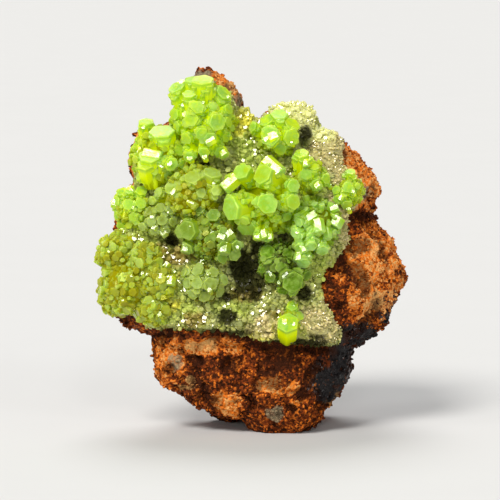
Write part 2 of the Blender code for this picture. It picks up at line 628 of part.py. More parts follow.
def boolean(piece, operation, operand):
    """Joins or cuts the piece with an object or with a collection of objects."""
    modifier = piece.modifiers.new(operation.lower(), "BOOLEAN")
    modifier.operation = operation
    modifier.solver = "MANIFOLD"  # the exact solver leaves open edges where many crystals meet
    if isinstance(operand, bpy.types.Collection):
        modifier.operand_type = "COLLECTION"
        modifier.collection = operand
    else:
        modifier.object = operand


def body_around(face, unseen):
    """The faces that hang together with this one, taken out of the unseen ones."""
    body = [face]
    for reached in body:
        for edge in reached.edges:
            for other in edge.link_faces:
                if other in unseen:
                    unseen.remove(other)
                    body.append(other)
    return body


def bake(piece):
    """Applies the piece's modifiers and keeps its largest body."""
    graph = bpy.context.evaluated_depsgraph_get()
    mesh = bpy.data.meshes.new_from_object(piece.evaluated_get(graph))
    piece.modifiers.clear()
    piece.data = mesh
    made = bmesh.new()
    made.from_mesh(mesh)
    unseen = set(made.faces)
    bodies = []
    while unseen:
        bodies.append(body_around(unseen.pop(), unseen))
    bodies.sort(key=len)
    for body in bodies[:-1]:
        bmesh.ops.delete(made, geom=body, context="FACES")
    made.to_mesh(mesh)
    made.free()


def remove_group(group):
    for member in list(group.objects):
        bpy.data.objects.remove(member)
    bpy.data.collections.remove(group)


def distance_to_crystal(point, crystal):
    """How far a point is from the surface of a crystal, near enough."""
    foot, tip, radius, _ = crystal
    axis = tip - foot
    share = max(0.0, min(1.0, (point - foot).dot(axis) / axis.length_squared))
    return (point - foot - axis * share).length - radius


def along(crystal, steps):
    """Points spread evenly from a crystal's foot to its end face."""
    foot, tip, _, _ = crystal
    return [foot.lerp(tip, step / steps) for step in range(steps + 1)]


def is_clear(crystal, others):
    return all(
        distance_to_crystal(point, other) > crystal[2] + 2 * GAP
        for point in along(crystal, NEAR_STEPS)
        for other in others
    )


def sprouts(others):
    """(foot, tip, radius, twist) of small crystals on the open crust, clear of all the others."""
    spread = random.Random(SPROUT_SEED)
    found = []
    while len(found) < SPROUT_COUNT:
        angle = spread.uniform(-math.pi, math.pi)
        reach = float(crust_radius(np.array(angle))) * math.sqrt(spread.uniform(0.0, SPROUT_REACH))
        u = CRUST_MIDDLE[0] + reach * math.cos(angle)
        v = CRUST_MIDDLE[1] + reach * math.sin(angle)
        tip = Vector((u, v, crust_depth(u, v) - spread.uniform(*SPROUT_HEIGHTS)))
        lean_u = spread.uniform(-SPROUT_LEAN, SPROUT_LEAN)
        lean_v = spread.uniform(-SPROUT_LEAN, SPROUT_LEAN)
        foot = tip - Vector((lean_u, lean_v, -1.0)) * SPROUT_LENGTH
        crystal = (foot, tip, spread.uniform(*SPROUT_RADII), spread.uniform(0, math.pi / 3))
        if is_clear(crystal, others):
            found.append(crystal)
    return found


def balls(lumps):
    """The lumps as very short crystals, for measuring how far things are from them."""
    return [(Vector((u, v, w)), Vector((u, v, w - GAP)), radius, 0.0) for u, v, w, radius in lumps]


def near(crystals, others):
    """The other crystals that come so close to these that they have to be cut clear of them."""
    return [
        other
        for other in others
        if any(
            distance_to_crystal(point, crystal) < other[2] + 2 * GAP
            for crystal in crystals
            for point in along(other, NEAR_STEPS)
        )
    ]


def finish(piece, colour, roughness):
    """Gives the piece a plain finish of its own: one colour with its roughness, and no metal."""
    made = bpy.data.materials.new(piece.name)
    made.use_nodes = True
    surface = made.node_tree.nodes["Principled BSDF"]
    surface.inputs["Base Color"].default_value = (*colour, 1.0)
    surface.inputs["Roughness"].default_value = roughness
    surface.inputs["Metallic"].default_value = 0.0
    piece.data.materials.clear()
    piece.data.materials.append(made)


def build_stone():
    """The stone, and the helpers that keep everything else a gap away from it and the crust."""
    stone = add_object("limonite_matrix", mesh_of("limonite_matrix", *stone_points(STONE_CELLS)))
    finish(stone, RUST_COLOUR, RUST_ROUGHNESS)
    grown = mesh_of("grown_stone", *stone_points(STONE_CELLS, GAP))
    grown_stone = add_object("grown_stone", grown, helper=True)
    grown = mesh_of("grown_crust", *crust_points(GAP))
    grown_crust = add_object("grown_crust", grown, helper=True)
    return grown_stone, grown_crust


def build_cluster(name, crystals, lumps, cutters):
    """One cluster as one solid, cut clear of whatever stands before it."""
    piece = add_object(name, crystal_mesh(name, *crystals[0]))
    others = add_crystals(crystals[1:])
    under = add_lumps(lumps)
    boolean(piece, "UNION", others)
    boolean(piece, "UNION", under)
    for cutter in cutters:
        boolean(piece, "DIFFERENCE", cutter)
    bake(piece)
    finish(piece, CRYSTAL_COLOUR, CRYSTAL_ROUGHNESS)
    remove_group(others)
    remove_group(under)


def build_clusters(cutters):
    """All the clusters, each cut clear of the ones before it. Returns their crystals and lumps."""
    twists = random.Random(TWIST_SEED)
    growths = [(name, cluster_crystals(c, twists), [hub(c)]) for name, c in CLUSTERS.items()]
    growths.append(("left_botryoid", dome_crystals(), botryoid_lumps()))
    placed_crystals = []
    placed_lumps = []
    for name, crystals, lumps in growths:
        close = near(crystals + balls(lumps), placed_crystals)
        other_crystals = add_crystals(close, grow=GAP)
        other_lumps = add_lumps([(u, v, w, radius + GAP) for u, v, w, radius in placed_lumps])
        groups = [group for group in (other_crystals, other_lumps) if group.objects]
        build_cluster(name, crystals, lumps, cutters + groups)
        remove_group(other_crystals)
        remove_group(other_lumps)
        placed_crystals += crystals
        placed_lumps += lumps
    return placed_crystals, placed_lumps


def build_crust(crystals, lumps, grown_stone):
    """The crust with its small crystals, resting on the stone."""
    crust = add_object("druse_crust", mesh_of("druse_crust", *crust_points()))
    small = add_crystals(sprouts(crystals + balls(lumps)))
    boolean(crust, "UNION", small)
    boolean(crust, "DIFFERENCE", grown_stone)
    bake(crust)
    finish(crust, CRUST_COLOUR, CRUST_ROUGHNESS)
    remove_group(small)


def main():
    for existing in list(bpy.data.objects):
        bpy.data.objects.remove(existing)
    grown_stone, grown_crust = build_stone()
    crystals, lumps = build_clusters([grown_stone, grown_crust])
    build_crust(crystals, lumps, grown_stone)


main()
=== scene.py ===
"""Dresses the solids of a pyromorphite specimen: rusty limonite, a sparkling druse and the crystals.

The forms are drawn in the frame of the specimen's display face, in millimetres: u runs to the
right, v up the face and w into the stone. stand() leans that frame back on the feet of the stone
and gives metres, with +Z up and the viewer on the -Y side.
"""

import json
import math
import random

import bmesh
import bpy
import numpy as np
from bpy.props import FloatProperty, FloatVectorProperty, IntProperty, PointerProperty
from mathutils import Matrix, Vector, noise

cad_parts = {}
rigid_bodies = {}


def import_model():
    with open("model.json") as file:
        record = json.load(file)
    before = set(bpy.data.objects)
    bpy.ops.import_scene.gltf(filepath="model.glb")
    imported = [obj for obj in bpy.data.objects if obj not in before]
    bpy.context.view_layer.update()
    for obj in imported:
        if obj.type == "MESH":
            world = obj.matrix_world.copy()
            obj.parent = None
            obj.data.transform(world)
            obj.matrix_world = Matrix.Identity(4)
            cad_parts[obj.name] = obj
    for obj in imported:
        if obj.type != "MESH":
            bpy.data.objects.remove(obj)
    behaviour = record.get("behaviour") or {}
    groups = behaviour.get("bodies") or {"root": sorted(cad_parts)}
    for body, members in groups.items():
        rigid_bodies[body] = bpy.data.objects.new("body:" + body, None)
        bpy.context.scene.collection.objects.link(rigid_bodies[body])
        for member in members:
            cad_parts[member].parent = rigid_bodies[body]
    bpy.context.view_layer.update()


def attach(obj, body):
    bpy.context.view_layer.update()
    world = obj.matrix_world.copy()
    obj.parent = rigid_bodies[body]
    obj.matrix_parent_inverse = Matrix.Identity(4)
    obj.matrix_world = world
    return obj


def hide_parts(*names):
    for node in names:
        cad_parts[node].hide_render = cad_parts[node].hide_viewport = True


bl_info = {
    "name": "Pyromorphite Specimen",
    "version": (1, 0, 0),
    "blender": (4, 5, 0),
    "location": "3D View > Sidebar > Specimen",
    "description": "Dresses the specimen's stone, druse and crystals, and builds its stage",
    "category": "Add Mesh",
}

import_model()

MM = 0.001
LEAN = math.radians(6.0)  # the display face leans back this far
SIDE_SHIFT = 0.5  # these two bring the middle of the whole specimen over the origin
DEPTH_SHIFT = 1.7

# The stage. The photograph is 500 pixels wide and high.
PIXELS_A_MM = 5.2
FOOT_PIXELS = 181.5  # from the photograph's middle down to the specimen's foot
VIEW_HEIGHT = FOOT_PIXELS / PIXELS_A_MM  # of the photograph's middle on the display face
VIEW_DEPTH = -8.0
CAMERA_TILT = math.radians(6.0)
SENSOR_WIDTH = 36.0
NEAREST_SEEN = 0.01
FLOOR_SIZE = 12.0
FLOOR_SHADE = 0.97  # how dark the darker clouds of the floor are
FLOOR_CLOUDS = 30.0  # to the metre
KEY_SIDE = (-0.34, -0.62, 0.7)
LIGHTS = {  # the side that each comes from, its width in degrees and its colour
    "key": (KEY_SIDE, 20, (1.0, 0.98, 0.95)),
    "top": ((-0.06, 0.45, 0.88), 36, (1.0, 1.0, 1.0)),
    "front": ((0.15, -1.0, 0.6), 9, (1.0, 1.0, 1.0)),
    "fill": ((0.75, -0.75, 0.3), 14, (0.95, 0.98, 1.0)),
    "left": ((-1.0, -0.45, 0.3), 12, (1.0, 1.0, 1.0)),
}
SKY_COLOUR = (0.9, 0.93, 0.96, 1.0)

# The finishes. The scales of clouds, specks, holes and grains are how many there are to the metre.
PAINTED_GLOW_STRENGTH = 0.35  # of the painted glow that the sides of a crystal give off, standing in for light that passes through them
CRYSTAL_IOR = 1.36  # lower than the mineral's, because the pale floor would grey the colours
GLINT_TINT = (0.9, 1.0, 0.25, 1.0)
COAT_BLUR = 0.1  # the roughness of the clear coat on the crystals
LIT_DULLNESS = 0.4  # of the crystal under the clear coat that mirrors the main light
DRUSE_LIT_COAT = 0.8  # the clear coat of the small crystals that mirror the main light
HOLLOW_COAT = 0.04  # the same in the hollows, which are painted with shade
CRYSTAL_CLOUDS = 420.0
CRYSTAL_MOTTLE = 1000.0
CRYSTAL_DIMPLES = 1700.0
CRYSTAL_SPECKS = 2600.0
GROWTH_BANDS = 21.0  # how closely the growth lines lie on a crystal's sides
DRUSE_GRAIN = 1.8  # in millimetres
ROCK_IOR = 1.25
ROCK_PATCHES = 150.0
ROCK_HOLES = 560.0
ROCK_CRUMBLE = 1100.0
ROCK_GRAIN = 2300.0
GRAIN_GROUP = "crumb_grain"
ROCK_GROUP = "limonite_colour"
CRYSTAL_GROUP = "crystal_growth"
COLOUR = "NodeSocketColor"
VALUE = "NodeSocketFloat"
FED_SOCKETS = {  # the shader's socket that each output of a node group feeds; Glow is a painted glow on the crystals' sides
    "Coat": "Coat Weight", "Colour": "Base Color", "Roughness": "Roughness", "Glow": "Emission Color",
}

# The stone: its outline seen square on, as points (u, v) clockwise from the tip.
STONE_MIDDLE = (0.0, 34.9)
STONE_OUTLINE = [
    (-8.1, 69.9), (-3.8, 66.4), (-2.1, 64.1), (-1.3, 61.8), (0.4, 59.7), (3.1, 60.7), (6.3, 62.6),
    (9.6, 62.6), (11.9, 61.2), (13.1, 58.0), (17.5, 55.9), (21.0, 52.2), (24.2, 47.8), (25.2, 46.2),
    (23.8, 44.5), (23.3, 42.2), (24.2, 39.5), (27.1, 36.4), (27.1, 34.5), (28.7, 32.4), (29.4, 29.7),
    (28.3, 27.8), (28.3, 25.3), (26.7, 23.6), (26.3, 21.4), (24.0, 19.9), (19.4, 16.2), (18.7, 13.8),
    (18.8, 11.6), (17.7, 8.8), (16.5, 5.7), (14.8, 4.1), (13.3, 2.0), (11.2, 0.5), (9.0, -0.1),
    (5.2, -0.3), (2.3, 0.1), (-0.2, 1.2), (-1.9, 2.6), (-4.2, 1.6), (-6.9, 2.4), (-9.0, 3.8),
    (-11.3, 5.3), (-12.7, 7.6), (-15.2, 8.9), (-17.3, 10.5), (-18.1, 13.4), (-18.1, 16.6),
    (-18.3, 18.6), (-21.0, 19.9), (-23.8, 21.4), (-26.3, 23.6), (-27.1, 29.1), (-26.3, 35.9),
    (-25.4, 39.7), (-24.8, 44.5), (-22.3, 47.8), (-22.3, 54.1), (-21.7, 57.2), (-17.3, 57.8),
    (-14.6, 59.7), (-14.2, 63.8), (-11.5, 67.2), (-9.8, 69.1),
]
STONE_SPREAD = 1.015  # a factor on the outline's size
SHARE_LIMIT = 0.97  # of the way out to the outline, where the smooth front stops falling
MIDDLE_SLOPE_U = 0.03  # of the surface that parts the front from the back
MIDDLE_SLOPE_V = 0.06
FRONT_BULGE = 11.5
BACK_BULGE = 14.5
BACK_SLOPE_U = 0.24
BACK_SLOPE_V = -0.05
FACE_POWER = 2.8
BASE_POWER = 9.0
LEDGE_HEIGHT = 17.0
LEDGE_SOFTNESS = 1.2
LEDGE_STEP = 2.4
CROWN_HEIGHTS = (52.0, 64.0)
CROWN_THINNING = 3.2
SWELLINGS = [  # (u, v, radius, height) of its lumps and, where the height is negative, its hollows
    (22.0, 29.0, 7.0, 1.2), (-1.3, 30.7, 3.3, -3.5), (-14.8, 36.2, 1.9, -2.5), (-8.7, 50.9, 1.9, -2.5),
]
KNOB_SIZE = 7.5
KNOB_HEIGHT = 2.2
KNOB_LEVEL = 0.7
SWELL_SIZE = 12.0
SWELL_HEIGHT = 1.7
EDGE_CALM = 0.6
EDGE_SHARES = (0.75, 1.0)  # of the way out to the stone's outline, where the knobs die down
BARE_SHARES = (0.97, 1.12)  # of the way out to the crust's outline, where the stone lies bare
FACING_FRONT = (0.3, -0.1)  # the depth part of the direction out of the stone, from its back to its front
FACING_CRUST = 0.1  # the same at the edge of what the crust may cover
COVERED_RELIEF = 0.15
BASE_DIRECTIONS = (0.55, 0.95)
BASE_HEIGHTS = (2.0, 9.0)
UNDERSIDE_RISE = 1.2
FEET = [(3.2, -1.0, 3.8, 2.8), (8.8, -0.5, 3.8, 2.6), (-5.0, 12.5, 3.6, 4.4), (9.5, 13.0, 4.5, 3.2)]

# The crumbly surface of the stone, in sizes and heights of its lumps and grains.
ROCK_LUMPS = (2.6, 0.8)
ROCK_GRAINS = (1.1, 0.42)
ROCK_ROUGH = (1.8, 0.5)
ROCK_BEND = 0.5
NOISE_SEED = 7  # the noise that bends the lumps would otherwise take its seed from the clock
ROCK_RELIEF = 0.8
PIT_SIZE = 3.6
PIT_OFFSET = (7.3, 1.9, 4.4)
PIT_LEVELS = (0.16, 0.42)
PIT_SINK = 1.1
DEEP_SINK = 1.0
CRACK_LEVELS = (0.0, -0.5)
ZONE_SOFTNESS = 0.35
ZONE_NOISE = 2.4
ROCK_FRACTAL = (1.0, 2.0, 4)  # increment, lacunarity and octaves of the noise, here and below
ROCK_ZONE_FRACTAL = (0.8, 2.0, 5)
DRUSE_ZONE_FRACTAL = (0.8, 2.0, 4)
ZONE_RAGGEDNESS = 0.85
BACK_PATCHES = (0.05, 0.4)
BACK_BRIGHTNESS = 0.8
BARE_ENOUGH = 0.75  # for crumbs to lie there
CRUMB_SIZES = (0.3, 1.0)  # in radii of the largest
CRUMB_BIAS = 1.5  # above 1, small crumbs are more common than large ones
CRUMB_DETAIL_SIZE = 0.55  # those above it get the finer of the two bodies
CRUMB_LUMPS = 1.3
CRUMB_UNEVENNESS = 0.9
CRUMB_STRETCH = (0.7, 1.25)
# A crumb on a pit takes this share of the pit's dark brown, which is partly painted shade
CRUMB_PIT_SHARE = 0.4
ROCK_ZONES = {  # (u, v, half width, half height) of the places of each colour on the front
    "bright": [
        (24.0, 31.0, 6.0, 9.0), (22.0, 50.0, 5.5, 7.0), (-21.8, 54.0, 2.5, 7.0), (-4.6, 66.5, 3.4, 4.0),
        (-15.5, 14.0, 3.2, 5.0), (-9.2, 16.2, 4.0, 1.8), (-3.4, 16.4, 2.6, 1.8), (-4.4, 4.8, 3.2, 2.8),
        (5.6, 9.0, 3.8, 2.2), (8.9, 5.0, 1.2, 0.8),
    ],
    "black": [
        (26.8, 23.4, 2.2, 3.4), (21.0, 18.6, 4.0, 2.2), (17.4, 14.0, 2.6, 6.0), (14.6, 9.6, 3.0, 4.5),
    ],
    # deep: sunk, and painted dark brown: a painted shadow in the band under the crust's ledge, and in the
    # cracks and pockets partly their own colour, partly painted shade
    "deep": [
        (21.2, 35.6, 2.0, 1.6), (8.6, 16.4, 8.0, 1.7), (21.6, 41.2, 2.4, 1.2), (-2.5, 18.6, 3.0, 0.8),
        (-15.0, 18.6, 3.0, 0.6), (-10.8, 13.6, 2.1, 1.1), (-3.7, 12.8, 2.2, 1.9), (-8.6, 6.9, 1.1, 2.2),
        (10.2, 6.9, 1.9, 1.6), (13.2, 4.2, 1.3, 1.6), (5.9, 13.6, 3.2, 1.3), (2.0, 12.0, 0.8, 1.6),
        (1.3, 9.0, 0.8, 2.0), (0.5, 5.2, 0.8, 1.8), (13.0, 12.6, 1.6, 0.9), (21.6, 28.0, 1.3, 2.2),
    ],
    "pale": [
        (-9.2, 16.3, 3.6, 1.1), (15.6, 6.6, 1.5, 2.4), (16.6, 11.5, 1.0, 0.8), (24.0, 25.5, 1.9, 2.0),
        (-11.6, 9.8, 0.9, 1.0), (-4.0, 66.0, 1.4, 1.4), (-12.2, 8.4, 1.6, 0.7),
    ],
    "grey": [
        (-9.9, 68.6, 2.4, 1.8), (-2.6, 63.2, 1.2, 2.0), (21.6, 46.0, 1.7, 1.7), (-14.3, 13.6, 1.5, 1.9),
        (4.7, 2.8, 2.0, 1.5),
    ],
}

# The crust of small crystals that coats the front of the stone.
CRUST_MIDDLE = (-1.9, 38.8)
CRUST_OUTLINE = [
    (-8.7, 68.0), (-4.0, 65.5), (-3.5, 62.6), (0.4, 60.1), (3.5, 61.6), (6.3, 63.8), (9.6, 63.6),
    (12.5, 61.8), (13.1, 58.2), (15.6, 57.8), (17.7, 55.7), (17.3, 51.2), (19.2, 49.5), (21.9, 46.4),
    (20.4, 43.8), (18.8, 41.8), (18.5, 39.1), (19.2, 36.8), (16.9, 33.4), (14.2, 31.1), (13.5, 27.6),
    (14.6, 24.3), (17.5, 19.1), (16.5, 16.4), (11.5, 16.8), (6.7, 17.4), (2.3, 18.0), (-1.9, 18.8),
    (-5.4, 19.9), (-13.5, 19.9), (-17.3, 19.7), (-20.6, 20.7), (-21.9, 23.6), (-24.6, 24.1),
    (-27.1, 23.6), (-28.3, 26.1), (-28.6, 32.6), (-27.7, 36.2), (-26.3, 39.1), (-26.5, 43.0),
    (-25.0, 46.1), (-22.3, 48.4), (-21.3, 51.2), (-21.3, 56.1), (-21.0, 59.1), (-19.2, 59.9),
    (-15.8, 58.0), (-15.0, 61.4), (-15.4, 64.5), (-13.3, 66.4), (-11.2, 67.6),
]
CRUST_REACH = 0.965  # of the way out to the stone's outline
CRUST_ROUNDS = 4  # of drawing it in to there
CRUST_THICKNESS = 1.4
CRUST_ROOT = 2.0
CRUST_EDGE_POWER = 10.0
SLOPE_STEP = 2.0
CRUST_DOMES = [  # (u, v, radius, height)
    (8.8, 60.7, 4.6, 3.0), (15.4, 55.1, 2.9, 2.0), (13.8, 20.5, 3.5, 1.6), (2.3, 21.1, 2.9, 1.6),
    (-1.9, 23.0, 2.2, 1.2), (-1.9, 59.1, 2.7, 1.0), (18.3, 48.4, 3.1, 1.4),
]
SPROUT_COUNT = 8
SPROUT_RADII = (0.5, 0.85)
SPROUT_HEIGHTS = (0.7, 1.5)
SPROUT_LENGTH = 2.6
SPROUT_LEAN = 0.7
SPROUT_REACH = 0.8
SPROUT_SEED = 5
CLEAR_STEPS = 8  # along a sprout, at which its distance from the others is taken
GAP = 0.3
CRUST_CELLS = 84
CRUST_ROUGH = (1.6, 0.35)
CRUST_TINT = 0.3
DRUSE_SEED = 17
DRUSE_RIM = 0.985  # of the way out, where the small crystals stop
DRUSE_TURN = 0.15
DRUSE_BIAS = 1.8  # above 1, small ones are more common than large ones
DRUSE_SINK = 0.5  # the share of a small crystal that stays in the crust
LUMP_COVER = 0.97  # of a lump's radius, where the small crystals stop
DRUSE_LIT_SHARE = 0.13  # of the small crystals, those that mirror the main light
DRUSE_LIT_SIZE = 0.4  # how large those may be, from the smallest (0) to the largest (1)
LIT_ALIGNMENT = 0.995
DRUSE_ZONES = {
    "cream": [
        (15.4, 53.5, 4.6, 5.6), (18.5, 47.0, 3.5, 5.5), (13.8, 20.6, 4.6, 4.0), (8.8, 61.2, 5.4, 3.8),
        (18.2, 40.4, 1.7, 5.0), (-10.0, 67.0, 4.0, 2.0), (-20.5, 56.5, 1.8, 4.5), (3.0, 20.0, 3.2, 2.4),
    ],
    # rusty druse; in the hollows its darker tone is partly painted shade
    "brownish": [
        (-14.9, 33.8, 3.8, 2.8), (-10.4, 21.5, 2.6, 1.4), (-1.4, 26.4, 3.4, 1.4), (4.6, 22.6, 2.4, 1.0),
    ],
    "fan": [(8.8, 61.4, 5.6, 4.0), (-21.0, 57.0, 1.8, 4.0), (14.0, 57.5, 2.4, 1.8)],
    "clear": [(-9.0, 40.0, 20.0, 26.0), (8.0, 36.0, 9.0, 16.0)],
    "green": [
        (-17.0, 37.0, 7.5, 5.0), (-13.0, 29.6, 4.6, 3.2), (-9.0, 33.6, 4.5, 2.5), (-20.5, 48.5, 3.5, 2.4),
        (-14.0, 43.5, 5.0, 3.0), (-14.5, 24.0, 5.0, 3.0), (1.5, 52.5, 4.0, 4.5), (11.5, 44.5, 4.5, 3.0),
        (-4.0, 24.5, 4.0, 2.4), (13.5, 31.5, 2.5, 3.5), (-1.5, 57.0, 3.0, 3.0),
    ],
    "ochre": [
        (-1.9, 59.6, 3.0, 2.6), (2.4, 18.8, 3.0, 1.4), (-17.6, 25.6, 3.6, 2.6), (-12.6, 30.2, 1.6, 0.9),
    ],
    # dark: painted shade, near black, in the hollows among the clusters and along the crust's lower edge
    "dark": [
        (-4.5, 22.2, 1.9, 1.5), (-0.6, 30.6, 4.4, 4.5), (0.9, 35.2, 1.5, 2.4), (-14.8, 36.6, 1.7, 1.4),
        (12.4, 18.3, 1.6, 1.0), (10.6, 56.6, 1.5, 2.0), (10.6, 26.6, 1.6, 1.4), (-5.0, 26.0, 1.8, 1.2),
        (8.0, 16.5, 8.5, 1.4), (-8.0, 19.0, 9.0, 0.8), (-13.5, 48.7, 0.9, 0.9), (6.4, 37.6, 1.2, 1.6),
        (-9.2, 51.3, 1.5, 0.8),
    ],
}
DRUSE_COATS = {  # the lengths are in radii
    "fine": {"count": 5000, "zone": None, "radii": (0.14, 0.34), "lengths": (2.8, 5.6), "lean": 1.0},
    "prisms": {"count": 4600, "zone": "clear", "radii": (0.26, 0.66), "lengths": (2.6, 4.6), "lean": 1.1},
    "needles": {"count": 9000, "zone": "cream", "radii": (0.13, 0.28), "lengths": (5.0, 9.0), "lean": 1.1},
    "scallops": {"count": 7000, "zone": "fan", "radii": (0.32, 0.62), "lengths": (2.0, 3.0), "lean": 0.6},
}

